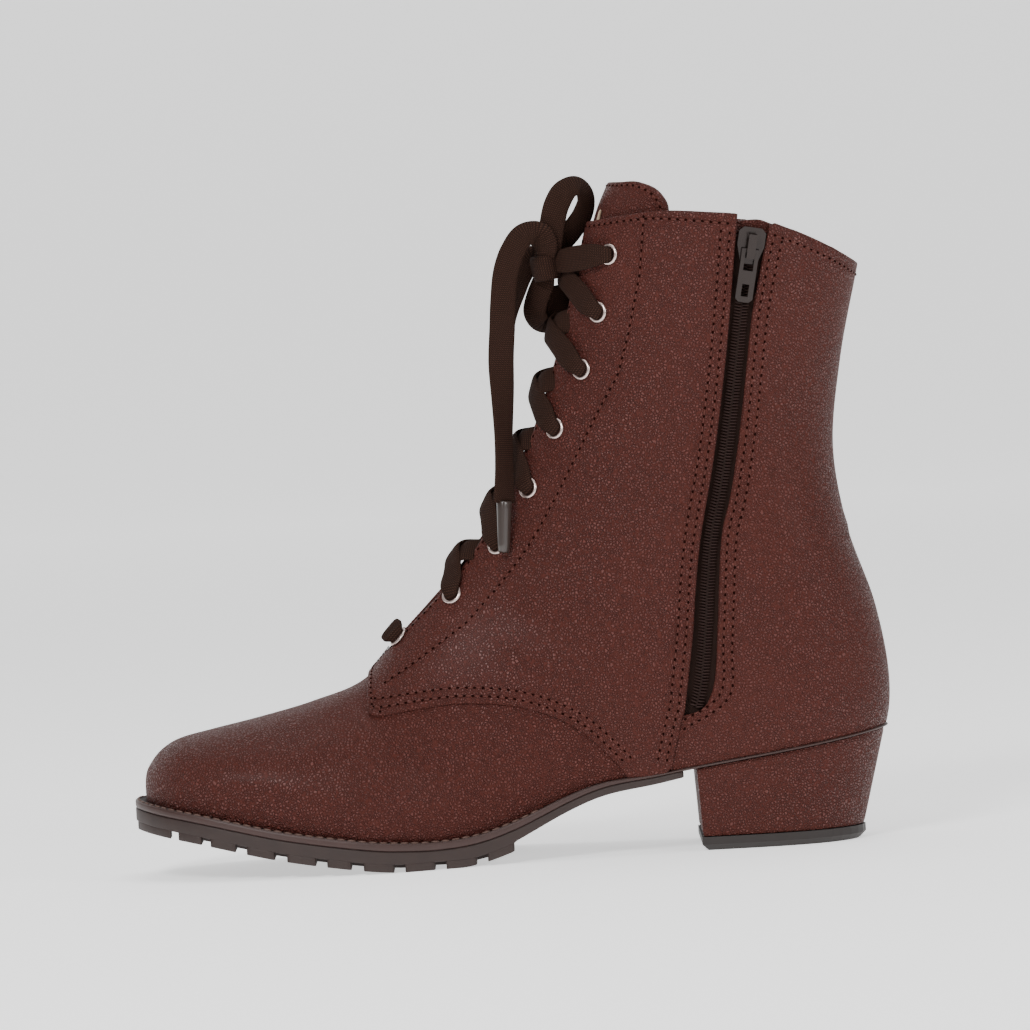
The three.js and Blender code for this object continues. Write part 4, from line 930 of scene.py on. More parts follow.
def lamp(name, place, aim, size, power, color=(1, 1, 1)):
    light = bpy.data.lights.new(name, "AREA")
    light.shape, light.size, light.energy, light.color = "SQUARE", size, power, color
    made = bpy.data.objects.new(name, light)
    made.location = place
    made.rotation_mode = "QUATERNION"
    made.rotation_quaternion = (Vector(aim) - Vector(place)).to_track_quat("-Z", "Y")
    bpy.context.scene.collection.objects.link(made)


def stage_floor():
    profile = [(-6.0, 0.0), (3.4, 0.0)]
    profile += [(3.4 + 0.9 * math.sin(a), 0.9 - 0.9 * math.cos(a)) for a in np.linspace(0.1, math.pi / 2, 16)]
    profile += [(4.3, 5.0)]
    points = [(x * 1000, y * 1000, z * 1000) for y, z in profile for x in (-6.0, 6.0)]
    faces = [(2 * i, 2 * i + 1, 2 * i + 3, 2 * i + 2) for i in range(len(profile) - 1)]
    material, _, shader = new_material("Pale floor", (0.86, 0.86, 0.86), 0.9)
    shader.inputs["Emission Color"].default_value = (1, 1, 1, 1)
    shader.inputs["Emission Strength"].default_value = 0.85
    shader.inputs["Specular IOR Level"].default_value = 0.1
    floor = bpy.data.objects.new("floor", make_mesh("floor", points, faces))
    floor.data.materials.append(material)
    bpy.context.scene.collection.objects.link(floor)
    world = bpy.data.worlds.new("Studio")
    world.use_nodes = True
    world.node_tree.nodes["Background"].inputs["Color"].default_value = (1, 1, 1, 1)
    world.node_tree.nodes["Background"].inputs["Strength"].default_value = 0.3
    bpy.context.scene.world = world
    lamp("Key", (-0.7, -1.5, 1.2), (-0.09, 0, 0.12), 0.5, 24)
    lamp("Top", (-0.1, 0.1, 1.6), (-0.09, 0, 0.1), 1.0, 10)
    lamp("Fill", (1.2, -1.1, 0.7), (-0.05, 0, 0.1), 0.5, 9)


MATERIALS = {}
# Key: name, darker colour, lighter colour, then roughness and scale, or the weave's two scales
WORN = {
    "lining": ("Lining leather", (0.38, 0.27, 0.18), (0.5, 0.38, 0.27), 0.75, 90.0),
    "welt": ("Welt", (0.028, 0.011, 0.0085), (0.045, 0.018, 0.014), 0.5, 130.0),
    "rubber": ("Rubber", (0.016, 0.0075, 0.006), (0.03, 0.0145, 0.011), 0.62, 160.0),
    "top_lift": ("Top lift", (0.012, 0.008, 0.007), (0.02, 0.014, 0.012), 0.6, 160.0),
}
WOVEN = {
    "lace": ("Woven lace", (0.014, 0.006, 0.004), (0.058, 0.0255, 0.0165), 700.0, 420.0),
    "zip_tape": ("Zip tape", (0.02, 0.01, 0.008), (0.05, 0.028, 0.022), 900.0, 900.0),
}
# Key: name, colour, roughness, metal, gloss
PLAIN = {
    "thread": ("Thread", (0.075, 0.018, 0.012), 0.6, 0.0, 0.25),
    # Needle holes: a near-black colour of painted shade, standing for the shade inside each hole
    "pinhole_shade": ("Needle holes", (0.011, 0.0032, 0.0024), 0.9, 0.0, 0.0),
    "welt_thread": ("Welt thread", (0.085, 0.042, 0.03), 0.6),
    "zip_coil": ("Zip coil", (0.028, 0.013, 0.0105), 0.5, 0.0, 0.25),
    "zip_metal": ("Lacquered zip metal", (0.02, 0.0125, 0.0105), 0.2, 0.5, 0.6),
    "eyelet_metal": ("Eyelet metal", (0.66, 0.53, 0.49), 0.3, 1.0),
}


def make_materials():
    MATERIALS["leather"] = leather_material("Pebbled leather", (0.066, 0.015, 0.0103), (0.108, 0.0235, 0.0162))
    for kind, table in ((worn_material, WORN), (woven_material, WOVEN)):
        for key, values in table.items():
            MATERIALS[key] = kind(*values)
    for key, values in PLAIN.items():
        MATERIALS[key] = new_material(*values)[0]
    material, _, shader = new_material("Aglet", (0.035, 0.024, 0.02), 0.3)
    shader.inputs["Coat Weight"].default_value = 0.3
    MATERIALS["aglet"] = material


def build_vamp():
    piece = make_piece("vamp", panel(vamp_outline(), 0, LEATHER_UNDER, 0.5, relief=creases), "leather", "upper")
    weld(piece)


def build_quarters():
    for side, name in SIDES:
        holes = []
        for place in EYELETS[side]:
            turn = np.linspace(0, 2 * math.pi, 20, endpoint=False)
            ring = np.stack([EYELET_HOLE * np.cos(turn), EYELET_HOLE * np.sin(turn), 0 * turn], -1)
            holes.append(on_side(seat(ring, *place)[:, [0, 2]], side))
        centre = 0.25 if side < 0 else 0.75
        shape = panel(quarter_outline(side), QUARTER_STEP, LEATHER_UNDER, centre, relief=creases, holes=holes)
        make_piece("quarter_" + name, shape, "leather")


def build_rear():
    make_piece("quarter_rear", panel(rear_outline(), 0, LEATHER_UNDER, 0.0, relief=creases), "leather")


def build_tongue():
    top = -WALL - 0.3
    shape = panel(tongue_outline(), top, top - TONGUE_THICKNESS, 0.5, grid=2.2)
    make_piece("tongue_leaf", shape, "leather", "tongue")


def build_lining():
    back = zip_back(64, 0)
    slit = np.vstack([path(ZIP_FRONT)[::-1] - (2.2, 0), ZIP_FOOT[4:1:-1] - (0, 2.2), back + (2.2, 0)])
    slit = slit[slit[:, 1] < collar_z(slit[:, 0]) - 0.3]
    slit = on_side(even(slit, 2.0), -1)
    rows = np.linspace(20.0, 9.2, 60)
    inner_throat, outer_throat = (np.stack([rows, throat_turn(rows, side, 3.5)], -1) for side in (-1, 1))
    turns = [np.linspace(inner_throat[0, 1], slit[0, 1], 30),
             np.linspace(slit[-1, 1], outer_throat[0, 1] - 1, 110)]
    foot = rows[-1:]
    low_inner, low_outer = (np.stack([foot, feather_turn(foot, side, 1)], -1) for side in (-1, 1))
    x = look_up(PLACES, low_inner[:, 0], low_inner[:, 1])[0, 0]
    inner_sole, outer_sole = sole_loop(-1, x, 400, 1.0), sole_loop(1, x, 400, 1.0)
    cut = np.linspace(0.02, 0.98, 30)[:, None]
    loop = np.vstack([
        inner_throat[::-1], collar_loop(turns[0])[1:-1] - (0.04, 0), slit, collar_loop(turns[1])[1:-1] - (0.04, 0),
        outer_throat, outer_throat[-1:] * (1 - cut) + low_outer * cut, outer_sole, inner_sole[::-1][1:],
        low_inner * (1 - cut) + inner_throat[-1:] * cut,
    ])
    make_piece("lining", panel(loop, -1.0, -WALL, 0.0, grid=3.2, edge=0.4), "lining")


def build_sole_stitches():
    lines = []
    for side in (-1, 1):
        loop = sole_loop(side, -236, BALL_BACK + 12, 0.0)
        points, normals = on_last(loop[:, 0], loop[:, 1])
        place = points + unit(normals * (1, 1, 0)) * (WELT_REACH - 1.3)
        place[:, 2] = feather(place[:, 0]) - 0.3 + 0.12
        lines.append((place, np.tile((0, 0, 1.0), (len(place), 1))))
    stitches("welt_stitches", lines, "welt_thread", "welt", (3.4, 1.1, 0.8), 3.9)


def build_stitches():
    lift = QUARTER_STEP + STITCH_LIFT
    lines = []
    for side in (-1, 1):
        seam = clipped(path(VAMP_SEAM), 2.0)
        lower = np.vstack([clipped(path(SEAM_UNDER_ZIP), 2.0), path(ZIP_FRONT)[1:]])
        lower = lower[lower[:, 1] < collar_z(lower[:, 0]) - 1]
        for line, gaps in ((seam[4:], (2.6, 5.6)), (lower, (2.4, 5.6))):
            lines += [stitch_line(beside(line, gap), side, lift) for gap in gaps]
        lines.append(stitch_line(np.array(EYESTAY_ROW), side, lift))
        rows = np.linspace(8.9, 20.6, 80)
        points, normals = on_last(rows, throat_turn(rows, side, 1.6), np.full(len(rows), lift))
        keep = points[:, 2] < collar_z(points[:, 0]) - 2.4
        lines.append((points[keep], normals[keep]))
        lines.append(stitch_line(beside(path(FACING_FRONT + VAMP_SEAM[:1]), 1.7), side, lift))
        turn = np.linspace(throat_turn(np.array([20.4]), side, 2)[0], on_side([[4, 230]], side)[0, 1], 60)
        collar = collar_loop(turn)
        points, normals = on_last(collar[:, 0] - 0.14, collar[:, 1], lift)
        if side < 0:
            keep = points[:, 0] < -6.5
            points, normals = points[keep], normals[keep]
        lines.append((points, normals))
        lines.append(stitch_line(np.array([(-145.5, 57.2), (-145.8, 60.4)]), side, lift))
    back = zip_back(60, 1)
    for gap, rows in ZIP_FOOT_ROWS.items():
        line = np.vstack([rows, beside(back[4:], -gap)])
        route = smooth_route(np.pad(line[::3], ((0, 0), (0, 1))), 4)[:, :2]
        lines.append(stitch_line(route, -1, STITCH_LIFT))
    turn = np.linspace(on_side([[9.5, 228]], -1)[0, 1], on_side([[2, 228]], 1)[0, 1] - 1, 120)
    collar = collar_loop(turn)
    lines.append(on_last(collar[:, 0] - 0.14, collar[:, 1], np.full(120, STITCH_LIFT)))
    sewn("stitches", lines)
    flat = to_flat(tongue_outline(), 0.5)
    inset = from_flat(loop_inset(even(flat, 2.0), 2.4)[3:-3], 0.5)
    inset = inset[inset[:, 0] > 19]
    sewn("tongue_stitches", [on_last(inset[:, 0], inset[:, 1], -WALL - 0.2)])


def sewn(name, lines):
    """Rows of sunk thread, with a dark solid of painted shade standing for the needle hole at each of its ends."""
    gap = settings().stitch_gap
    stitches(name, lines, "thread", "leather", (0.72 * gap, 0.7, 0.36), gap)
    # A dark solid of painted shade at each needle hole, for the shade inside the hole
    stitches(name + "_hole_shade", lines, "pinhole_shade", "leather", (1.2, 0.85, 0.42), gap, 0.0)


ZIP_FOOT_ROWS = {
    2.4: [(-36.5, 47.8), (-29.0, 48.8), (-23.6, 52.0), (-20.4, 57.6)],
    5.6: [(-37.0, 44.2), (-28.0, 45.4), (-21.4, 49.2), (-17.2, 56.4)],
}
EYESTAY_ROW = [
    (-38.3, 234.0), (-40.9, 213.6), (-46.1, 192.2), (-51.0, 176.6), (-59.0, 163.4), (-65.3, 152.0),
    (-75.2, 134.2), (-83.6, 120.4), (-90.0, 111.4), (-99.7, 100.2), (-111.6, 88.1), (-121.2, 81.4),
    (-132.8, 73.5), (-145.3, 65.8),
]


# Laces
def eyelet_turns(side):
    return on_side(np.array(EYELET_PLACES) * (LAST_LENGTH, LAST_HEIGHT) + (0, SOLE_DEPTH), side)


TURNS = {side: eyelet_turns(side) for side in (-1, 1)}
EYELETS = {side: list(zip(*on_last(su[:, 0], su[:, 1], QUARTER_STEP))) for side, su in TURNS.items()}
TOP_STOPS = ((0.14, 2.7, 8.2, 0.05), (0.4, 2.4, 9.4, 0.2), (0.72, 1.2, 9.2, 0.35), (1.0, 0.0, 7.4, 0.5))


def strand(start, end, stops, rise=None):
    """A band from one eyelet towards another. Stops: share of the way, lift above the last, width, thickness.

    With a rise the middle lies that much higher than the two eyelets' mean height.
    """
    ridge = look_up(PLACES, np.linspace(8, LAST_ROW, 400), np.full(400, 0.5))[:, 2]
    ends = look_up(PLACES, *np.array([start, end]).T)[:, 2]
    middle = (start[0] + end[0]) / 2
    if rise is not None:
        middle = np.interp(ends.mean() + rise, ridge, np.linspace(8, LAST_ROW, 400))
    rows = []
    for t, lift, width, thick in stops:
        s = np.interp(t, [0, 0.5, 1], [start[0], middle, end[0]])
        u = start[1] + (end[1] - start[1]) * t
        point, _ = on_last(np.array([s]), np.array([u]), lift)
        around = u + np.array([-0.03, -0.015, 0, 0.015, 0.03])
        face = on_last(np.full(5, s), around)[1].mean(0)
        rows.append([*point[0], *face, width, thick])
    return sweep(smooth_route(rows, 6))


def crossing(row, side):
    """From an eyelet over the throat and under the other facing. The inner side's strand lies on top."""
    start, end = TURNS[side][row], TURNS[-side][row + 1]
    up = 1.9 if side < 0 else 0.0
    wide, thick = LACE_WIDTH, LACE_THICKNESS
    stops = [
        (-0.03, -1.8, 4.6, 3.2), (0.0, 1.7, 5.6, 3.0), (0.05, 2.9, 7.8, 2.2), (0.12, 2.7, wide, thick),
        (0.24, 2.6, wide, thick), (0.34, 2.7 + 0.3 * up, wide, thick), (0.42, 2.9 + 0.7 * up, wide, thick),
        (0.5, 3.0 + up, wide, thick), (0.57, 2.8 + 0.7 * up, wide, thick), (0.63, 2.2 + 0.3 * up, wide, thick),
        (0.69, 0.9, wide, thick), (0.75, -0.7, wide, thick), (0.82, -2.0, wide, 1.2),
    ]
    return strand(start, end, stops, 4.0)


def over_bar(row, bulge):
    start, end = TURNS[-1][row], TURNS[1][row]
    wide, thick = LACE_WIDTH, LACE_THICKNESS
    half = [(-0.03, -1.8, 4.6, 3.2), (0.0, 1.9, 5.8, 3.0), (0.09, 3.4, 8.4, 2.4), (0.2, 3.9, wide, thick)]
    middle = [(0.36, bulge - 0.4, wide, thick), (0.5, bulge, wide, thick), (0.64, bulge - 0.4, wide, thick)]
    return strand(start, end, half + middle + [(1 - t, *rest) for t, *rest in half[::-1]])


def under_strand(side):
    """Below the facings from the bottom eyelet to the next row, seen only in the throat."""
    end = [(0.0, -1.8, 3.2, 2.4), (0.2, -2.2, 8, 1.6)]
    middle = (0.5, -0.9 if side < 0 else -2.4, LACE_WIDTH, LACE_THICKNESS)
    stops = end + [middle] + [(1 - t, *rest) for t, *rest in end[::-1]]
    return strand(TURNS[side][0], TURNS[-side][1], stops)


def build_lacing():
    for side, name in SIDES:
        stood_for = [f"lace_crossing_{i}" for i in range(1, 7)] if side < 0 else []
        parts = [crossing(row, side) for row in range(1, 7)] + [under_strand(side)]
        make_piece("lacing_" + name, joined(parts), "lace", *stood_for)
    make_piece("lacing_bottom", over_bar(0, 5.2), "lace", "lace_bar_bottom")
    knot = np.array(KNOT_PLACE)
    for side, name in SIDES:
        place, normal = EYELETS[side][7]
        rows = [[*(place - normal * 3), *normal, 4.6, 3.2], [*(place + normal * 0.6), *normal, 5.6, 3.0]]
        goal = knot + (2.4, 3.6 * side, 1.6)
        for t, lift, wide, front in TOP_STOPS:
            face = normal * (1 - front) + np.array((-0.8, 0.6 * side, 0.0)) * front
            rows.append([*(place + (goal - place) * t + normal * lift), *face, wide, LACE_THICKNESS])
        rows.append([*(knot + (-0.6, 0.8 * side, 0.6)), -0.8, 0.6 * side, 0.0, 5.6, 2.2])
        stood_for = ["lace_bar_top"] if side < 0 else []
        make_piece("lacing_top_" + name, sweep(smooth_route(rows, 7)), "lace", *stood_for)


def route_rows(route, taper=None):
    rows = [[*row, LACE_WIDTH, LACE_THICKNESS] for row in route]
    if taper:
        rows[0][6], rows[0][7] = LACE_WIDTH * taper, 2.6
    return smooth_route(rows, 9)


def build_bow():
    knot = np.array(KNOT_PLACE)
    rows = route_rows(LOOP_UP + [[*knot, -0.8, -0.5, 0.0]] + LOOP_DOWN)
    bow = make_piece("bow_loops", sweep(rows), "lace", "lace_loop_up", "lace_loop_down")
    for name, route in (("front", END_FRONT), ("back", END_BACK)):
        rows = route_rows(route, taper=0.7)
        end = make_piece("bow_end_" + name, sweep(rows), "lace", "lace_end_" + name)
        aglet(name, rows)
    wrap = []
    for k in np.linspace(0, 2 * math.pi, 26):
        out = np.array((math.cos(k), 0.35 * math.sin(k), 0.15 * math.cos(k)))
        across = np.array((0.0, math.sin(k), 0.0))
        wrap.append([*(knot + out * 4.6 + across * 5.6), *(out + across), 9.6, 2.0])
    make_piece("bow_knot", sweep(wrap), "lace", "lace_knot")


def aglet(name, rows):
    way = unit(rows[-1, :3] - rows[-2, :3])
    start = rows[-1, :3] - way * 0.6
    shape = [(0, 2.5, 2.3), (0.4, 2.7, 2.4), (3, 2.6, 2.3), (16, 2.15, 1.95), (18.4, 2.0, 1.8), (19, 1.5, 1.4)]
    stops = [[*(start + way * far), *rows[-1, 3:6], 2 * wide, 2 * thick] for far, wide, thick in shape]
    return make_piece("bow_aglet_" + name, sweep(stops, 20), "aglet", "aglet_" + name)


def build_eyelets():
    r, o = EYELET_HOLE, EYELET_RADIUS
    profile = [(r, -2.4), (r - 0.02, 0.3), (r + 0.2, 0.72), (r + 0.55, 0.86), (o - 0.25, 0.62), (o, 0.3),
               (o - 0.1, 0.05), (r + 0.3, 0.02), (r + 0.3, -2.4)]
    points, faces, uv = turned(profile, 40)
    for side, name in SIDES:
        parts = [(seat(points, *place), faces, uv) for place in EYELETS[side]]
        make_piece("eyelets_" + name, joined(parts), "eyelet_metal", *[f"eyelet_{name}_{i}" for i in range(1, 9)])


def build_zip():
    outline = backing_outline(TAPE_MARGIN, TAPE_MARGIN, 47, 225)
    points, faces = panel(outline, -WALL - 0.15, -WALL - 0.9, 0.25, grid=3.0, edge=0.2)
    uv = np.stack([points[:, 2], points[:, 0]], -1) / 1000
    make_piece("zip_ribbon", (points, faces, uv), "zip_tape", "zip_tape")
    outline = backing_outline(TAPE_MARGIN + 2, TAPE_MARGIN + 2, 47, 230.5)
    shape = panel(outline, -WALL - 1.1, -WALL - 2.5, 0.25, grid=3.0, edge=0.6)
    make_piece("zip_guard_leaf", shape, "leather", "zip_guard")
    z = np.arange(53.5, 217, settings().tooth_pitch / 2)
    places, normals = zip_middle(z)
    way = unit(np.gradient(places, axis=0))
    across = np.cross(way, normals)
    turn = np.where(np.arange(len(z)) % 2 == 0, 1.0, -1.0)[:, None]
    at = places + normals * 0.75 + across * turn * 1.1
    lean = across + way * 0.12 * turn
    scatter("zip_teeth", at, lean, normals, (3.4, 0.66, 1.5), "zip_coil", "zip_coil", "zip_coil")
    for name in ("zip_slider", "zip_pull"):
        soften(name, 0.28, "zip_metal")


def soften(name, width, key):
    """Keeps a CAD solid, with its sharp edges rounded and a material of the scene."""
    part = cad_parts[name]
    bevel = part.modifiers.new("Soft edges", "BEVEL")
    bevel.width, bevel.segments, bevel.angle_limit = width / 1000, 2, math.radians(35)
    bevel.limit_method = "ANGLE"
    bevel.harden_normals = False
    normal = part.modifiers.new("Even shading", "WEIGHTED_NORMAL")
    normal.keep_sharp = True
    if not part.data.materials:
        part.data.materials.append(MATERIALS[key])
    for slot in part.material_slots:
        slot.link = "OBJECT"
        slot.material = MATERIALS[key]


# Sole
def footprint():
    """Places round the sole's edge, from the toe round the inner side to the heel and back."""
    inner, outer = (sole_loop(side, -400, 400, 0.0, 150) for side in (-1, 1))
    loop = np.vstack([inner, outer[::-1][1:-1]])
    return look_up(PLACES, loop[:, 0], loop[:, 1])


def grown(points, reach):
    way = np.roll(points, -1, 0) - np.roll(points, 1, 0)
    out = unit(np.stack([-way[:, 1], way[:, 0]], -1))
    middle = points[:, :2].mean(0)
    if ((points[:, :2] - middle) * out).sum() < 0:
        out = -out
    return points[:, :2] + out * reach(points[:, 0])[:, None]


def smooth_share(x, low, high):
    t = np.clip((x - low) / (high - low), 0, 1)
    return t * t * (3 - 2 * t)


def welt_reach(x):
    return WELT_REACH + (0.6 - WELT_REACH) * smooth_share(x, BALL_BACK, HEEL_FRONT)


def welt_bottom(x):
    thinning = (SEAT_THICKNESS - WELT_THICKNESS) * smooth_share(x, BALL_BACK, HEEL_FRONT)
    return feather(x) - (WELT_THICKNESS + thinning)


def sole_top(x):
    return welt_bottom(x) - 0.05


def ground(x):
    """The lugs' underside: the floor, rising at the toe."""
    return np.maximum(feather(x) - SOLE_DEPTH - 0.5, 0)


def sole_low(x):
    """The outsole's underside between the lugs, and under the shank."""
    way = np.clip((x - BALL_BACK) / (HEEL_FRONT - BALL_BACK), 0, 1)
    shank = feather(x) - (7.6 + (3.2 - 7.6) * way ** 0.8)
    return np.where(x < BALL_BACK, ground(x) + LUG_DEPTH, shank)


def lug_top(x):
    return np.minimum(ground(x) + LUG_DEPTH + 0.4, sole_top(x) - 0.6)


def stretch_of(plan, wanted):
    """The wanted part of a closed outline, in one run."""
    order = np.roll(np.arange(len(plan)), -int(np.argmax(np.diff(wanted, append=False))) - 1)
    return plan[order][wanted[order]]


def wall_faces(levels, count):
    """Faces between rings of equal count."""
    return [(k * count + i, k * count + (i + 1) % count, (k + 1) * count + (i + 1) % count, (k + 1) * count + i)
            for k in range(levels - 1) for i in range(count)]


def lug_plans(plan):
    """Outlines of the lugs: two rows along the edges and bars between them."""
    cuts = [-0.9] + [g for g, _ in LUG_GAPS] + [BALL_BACK / LAST_LENGTH]
    wide = [0] + [2.0 * w for _, w in LUG_GAPS] + [0]
    rims = {}
    for side in (-1, 1):
        rim = plan[np.sign(plan[:, 1] - 1.0) == side]
        rims[side] = rim[np.argsort(rim[:, 0])]
    plans = []
    for k in range(len(cuts) - 1):
        a, b = cuts[k] * LAST_LENGTH + wide[k], cuts[k + 1] * LAST_LENGTH - wide[k + 1]
        for side, rim in rims.items():
            x = np.linspace(max(a, rim[0, 0] + 1.0), b, 10)
            outer_y = np.interp(x, *rim.T)
            depth = min(LUG_REACH, 0.42 * abs(outer_y).min() + 4) if k else 9
            plans.append(np.vstack([np.stack([x, outer_y], -1), np.stack([x, outer_y - side * depth], -1)[::-1]]))
        middle = (a + b) / 2 + (7 if k < len(cuts) - 2 else 0)
        y0, y1 = (np.interp(middle, *rim.T) - side * (LUG_REACH + 3.5) for side, rim in rims.items())
        if k and y1 - y0 > 6 and middle + 4 < BALL_BACK:
            y = np.linspace(y0, y1, 8)
            ends = [np.stack([0 * y + middle + half, y], -1) for half in (-4.2, 4.2)]
            plans.append(np.vstack([ends[0], ends[1][::-1]]))
    return plans


def slab(plan, top, bottom, edge):
    """A layer of the sole with rounded edges. plan is the outline seen from above."""
    plan = even(np.vstack([plan, plan[:1]]), 1.6)[:-1]
    thick = np.minimum(edge, 0.45 * (top(plan[:, 0]) - bottom(plan[:, 0])))
    points = []
    for level, way, degrees in ((top, -1, (0, 30, 60, 90)), (bottom, 1, (90, 60, 30, 0))):
        for a in map(math.radians, degrees):
            ring = loop_inset(plan, edge * (1 - math.sin(a)))
            points.append(np.column_stack([ring, level(ring[:, 0]) + way * thick * (1 - math.cos(a))]))
    n, m = len(plan), len(points)
    faces = wall_faces(m, n)
    caps = []
    for level, line_z in ((0, top), (m - 1, bottom)):
        ring = points[level][:, :2]
        grid_x, grid_y = np.meshgrid(np.arange(ring[:, 0].min(), ring[:, 0].max(), 5), np.arange(-60, 60, 5))
        field = np.stack([grid_x.ravel(), grid_y.ravel()], -1)
        field = field[inside(field, ring)]
        field = field[line_gap(field, ring, True) > 2]
        rim = [(i, (i + 1) % n) for i in range(n)]
        out = delaunay_2d_cdt([Vector(v) for v in np.vstack([ring, field])], rim, [], 1, 1e-4)
        flat = np.array([tuple(v) for v in out[0]])
        near = ((flat[:, None] - ring[None]) ** 2).sum(-1)
        caps.append((flat, np.where(near.min(1) < 1e-6, near.argmin(1) + level * n, -1), out[2], line_z))
    points = list(np.vstack(points))
    for level, (flat, same, tris, line_z) in enumerate(caps):
        index = []
        for p, old in zip(flat, same):
            if old >= 0:
                index.append(int(old))
            else:
                index.append(len(points))
                points.append((p[0], p[1], float(line_z(np.array([p[0]]))[0])))
        for tri in tris:
            faces.append([index[v] for v in (tri if level == 0 else tri[::-1])])
    return np.array(points), faces


def build_sole():
    plan = grown(footprint(), welt_reach)
    welt = slab(plan, lambda x: feather(x) - 0.3, welt_bottom, 0.9)
    make_piece("welt_strip", welt, "welt", "welt")
    ring = stretch_of(plan, plan[:, 0] < SOLE_END)
    parts = [slab(ring, sole_top, lambda x: np.minimum(sole_low(x), sole_top(x) - 1.5), 0.5)]
    parts += [slab(block, lug_top, ground, 0.45) for block in lug_plans(plan)]
    points, faces, _ = joined([(p, f, np.zeros((len(p), 2))) for p, f in parts])
    make_piece("outsole_lugged", (points, faces), "rubber", "outsole")


def heel_outline():
    """The heel's outline at its seat, and the same points down at the floor."""
    plan = grown(footprint(), lambda x: np.full(len(x), -HEEL_INSET))
    front, back = HEEL_FRONT - HEEL_RAKE, plan[:, 0].max()
    ring = stretch_of(plan, plan[:, 0] > front)
    ends = [np.array([front, ring[k, 1]]) for k in (0, -1)]
    ring = np.vstack([ends[0], ring, ends[1]])
    ring = even(np.vstack([ring, ring[:1]]), 1.2)[:-1]
    middle = plan[abs(plan[:, 0]) < 2, 1]
    top_width = middle.max() - middle.min()
    bottom_back = HEEL_LENGTH / 2 + 2
    bottom_x = HEEL_FRONT + (ring[:, 0] - front) / (back - front) * (bottom_back - HEEL_FRONT)
    bottom_y = ring[:, 1] * HEEL_BOTTOM_WIDTH / top_width
    return ring, np.stack([bottom_x, bottom_y], -1)


def build_heel():
    ring, low = heel_outline()
    seat_z = feather(ring[:, 0]) - SEAT_THICKNESS - 0.3
    rows = []
    for share in np.linspace(1, 0, 26):
        high_edge, low_edge = (np.clip((part - 0.97) / 0.03, 0, 1) ** 2 for part in (share, 1 - share))
        xy = loop_inset(low + (ring - low) * share, 0.35 * high_edge + 0.25 * low_edge)
        z = TOP_LIFT_THICKNESS + 0.3 + (seat_z - TOP_LIFT_THICKNESS - 0.3) * share
        rows.append(np.column_stack([xy, z]))
    n = len(ring)
    faces = wall_faces(len(rows), n)
    faces += [list(range(n))[::-1], [(len(rows) - 1) * n + i for i in range(n)]]
    piece = make_piece("heel_covered", (np.vstack(rows), faces), "leather", "heel_block")
    mesh = bmesh.new()
    mesh.from_mesh(piece.data)
    bmesh.ops.recalc_face_normals(mesh, faces=mesh.faces)
    mesh.to_mesh(piece.data)
    mesh.free()
    piece.data.set_sharp_from_angle(angle=math.radians(40))


def build_top_lift():
    soften("top_lift", 0.35, "top_lift")
    soften("insole", 0.4, "lining")


# The add-on
class BootSettings(bpy.types.PropertyGroup):
    stitch_gap: bpy.props.FloatProperty(
        name="Stitch gap", description="Distance from one stitch to the next, in mm",
        default=3.1, min=2.0, max=6.0)
    tooth_pitch: bpy.props.FloatProperty(
        name="Tooth pitch", description="Distance between zip teeth on one side, in mm",
        default=1.1, min=0.8, max=3.0)
    crease_height: bpy.props.FloatProperty(
        name="Crease height", description="Strength of the soft creases in the leather",
        default=1.0, min=0.0, max=3.0)


def settings():
    return bpy.context.scene.boot_settings


class BOOT_OT_stage(bpy.types.Operator):
    """Make the camera, the floor, the lights and the materials"""
    bl_idname = "boot.stage"
    bl_label = "Stage"
    bl_options = {"REGISTER", "UNDO"}

    def execute(self, context):
        stage_camera()
        stage_floor()
        make_materials()
        return {"FINISHED"}


class BOOT_OT_bow(bpy.types.Operator):
    """Make the bow's loops, ends, tips and knot"""
    bl_idname = "boot.bow"
    bl_label = "Bow"
    bl_options = {"REGISTER", "UNDO"}

    def execute(self, context):
        build_bow()
        return {"FINISHED"}


class BOOT_OT_lacing(bpy.types.Operator):
    """Lead the lace through the eyelets"""
    bl_idname = "boot.lacing"
    bl_label = "Lacing"
    bl_options = {"REGISTER", "UNDO"}

    def execute(self, context):
        build_lacing()
        return {"FINISHED"}


class BOOT_OT_eyelets(bpy.types.Operator):
    """Set the eyelets in both facings"""
    bl_idname = "boot.eyelets"
    bl_label = "Eyelets"
    bl_options = {"REGISTER", "UNDO"}

    def execute(self, context):
        build_eyelets()
        return {"FINISHED"}


class BOOT_OT_vamp(bpy.types.Operator):
    """Make the vamp over the toes"""
    bl_idname = "boot.vamp"
    bl_label = "Vamp"
    bl_options = {"REGISTER", "UNDO"}

    def execute(self, context):
        build_vamp()
        return {"FINISHED"}


class BOOT_OT_quarters(bpy.types.Operator):
    """Make the two front quarters and the rear one"""
    bl_idname = "boot.quarters"
    bl_label = "Quarters"
    bl_options = {"REGISTER", "UNDO"}

    def execute(self, context):
        build_quarters()
        build_rear()
        return {"FINISHED"}


class BOOT_OT_tongue(bpy.types.Operator):
    """Make the tongue and the lining"""
    bl_idname = "boot.tongue"
    bl_label = "Tongue and lining"
    bl_options = {"REGISTER", "UNDO"}

    def execute(self, context):
        build_tongue()
        build_lining()
        return {"FINISHED"}


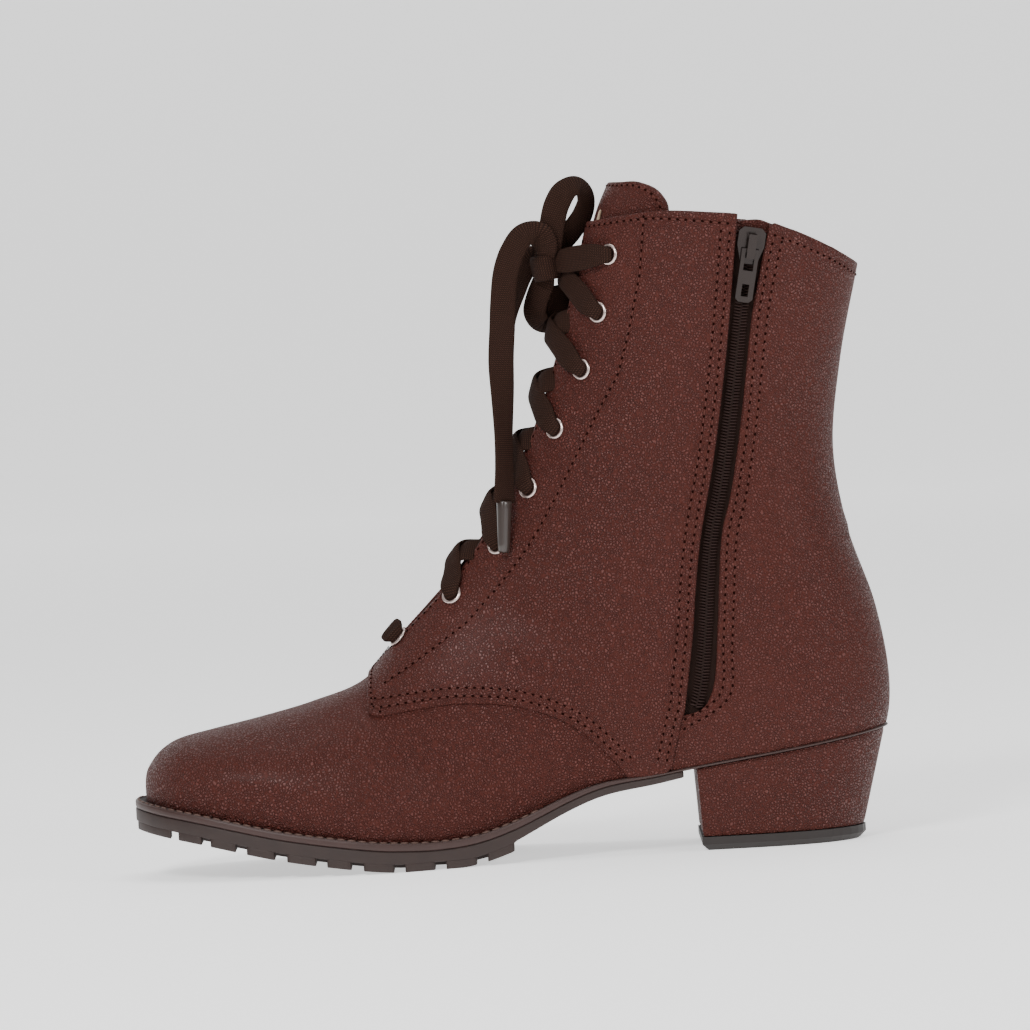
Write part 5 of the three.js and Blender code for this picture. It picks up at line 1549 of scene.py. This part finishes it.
class BOOT_OT_zip(bpy.types.Operator):
    """Make the zip's tape, guard, teeth and slider"""
    bl_idname = "boot.zip"
    bl_label = "Zip"
    bl_options = {"REGISTER", "UNDO"}

    def execute(self, context):
        build_zip()
        return {"FINISHED"}


class BOOT_OT_stitches(bpy.types.Operator):
    """Sew the seams, the edges and the welt"""
    bl_idname = "boot.stitches"
    bl_label = "Stitches"
    bl_options = {"REGISTER", "UNDO"}

    def execute(self, context):
        build_stitches()
        build_sole_stitches()
        return {"FINISHED"}


class BOOT_OT_sole(bpy.types.Operator):
    """Make the welt, the lugged outsole and the heel"""
    bl_idname = "boot.sole"
    bl_label = "Sole and heel"
    bl_options = {"REGISTER", "UNDO"}

    def execute(self, context):
        build_sole()
        build_heel()
        build_top_lift()
        return {"FINISHED"}


class BOOT_PT_panel(bpy.types.Panel):
    """Sidebar panel with the builders in order"""
    bl_idname = "BOOT_PT_panel"
    bl_label = "Lace-up ankle boot"
    bl_space_type = "VIEW_3D"
    bl_region_type = "UI"
    bl_category = "Boot"

    def draw(self, context):
        layout = self.layout
        for key in ("stitch_gap", "tooth_pitch", "crease_height"):
            layout.prop(context.scene.boot_settings, key)
        for operator in OPERATORS:
            layout.operator(operator.bl_idname)


OPERATORS = (
    BOOT_OT_stage, BOOT_OT_bow, BOOT_OT_lacing, BOOT_OT_eyelets, BOOT_OT_vamp, BOOT_OT_quarters,
    BOOT_OT_tongue, BOOT_OT_zip, BOOT_OT_stitches, BOOT_OT_sole,
)
CLASSES = (BootSettings, *OPERATORS, BOOT_PT_panel)


def register():
    for kind in CLASSES:
        bpy.utils.register_class(kind)
    bpy.types.Scene.boot_settings = bpy.props.PointerProperty(type=BootSettings)


def unregister():
    del bpy.types.Scene.boot_settings
    for kind in reversed(CLASSES):
        bpy.utils.unregister_class(kind)


def main():
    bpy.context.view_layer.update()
    register()
    bpy.ops.boot.stage()
    bpy.ops.boot.bow()
    bpy.ops.boot.lacing()
    bpy.ops.boot.eyelets()
    bpy.ops.boot.vamp()
    bpy.ops.boot.quarters()
    bpy.ops.boot.tongue()
    bpy.ops.boot.zip()
    bpy.ops.boot.stitches()
    bpy.ops.boot.sole()


if __name__ == "__main__":
    main()
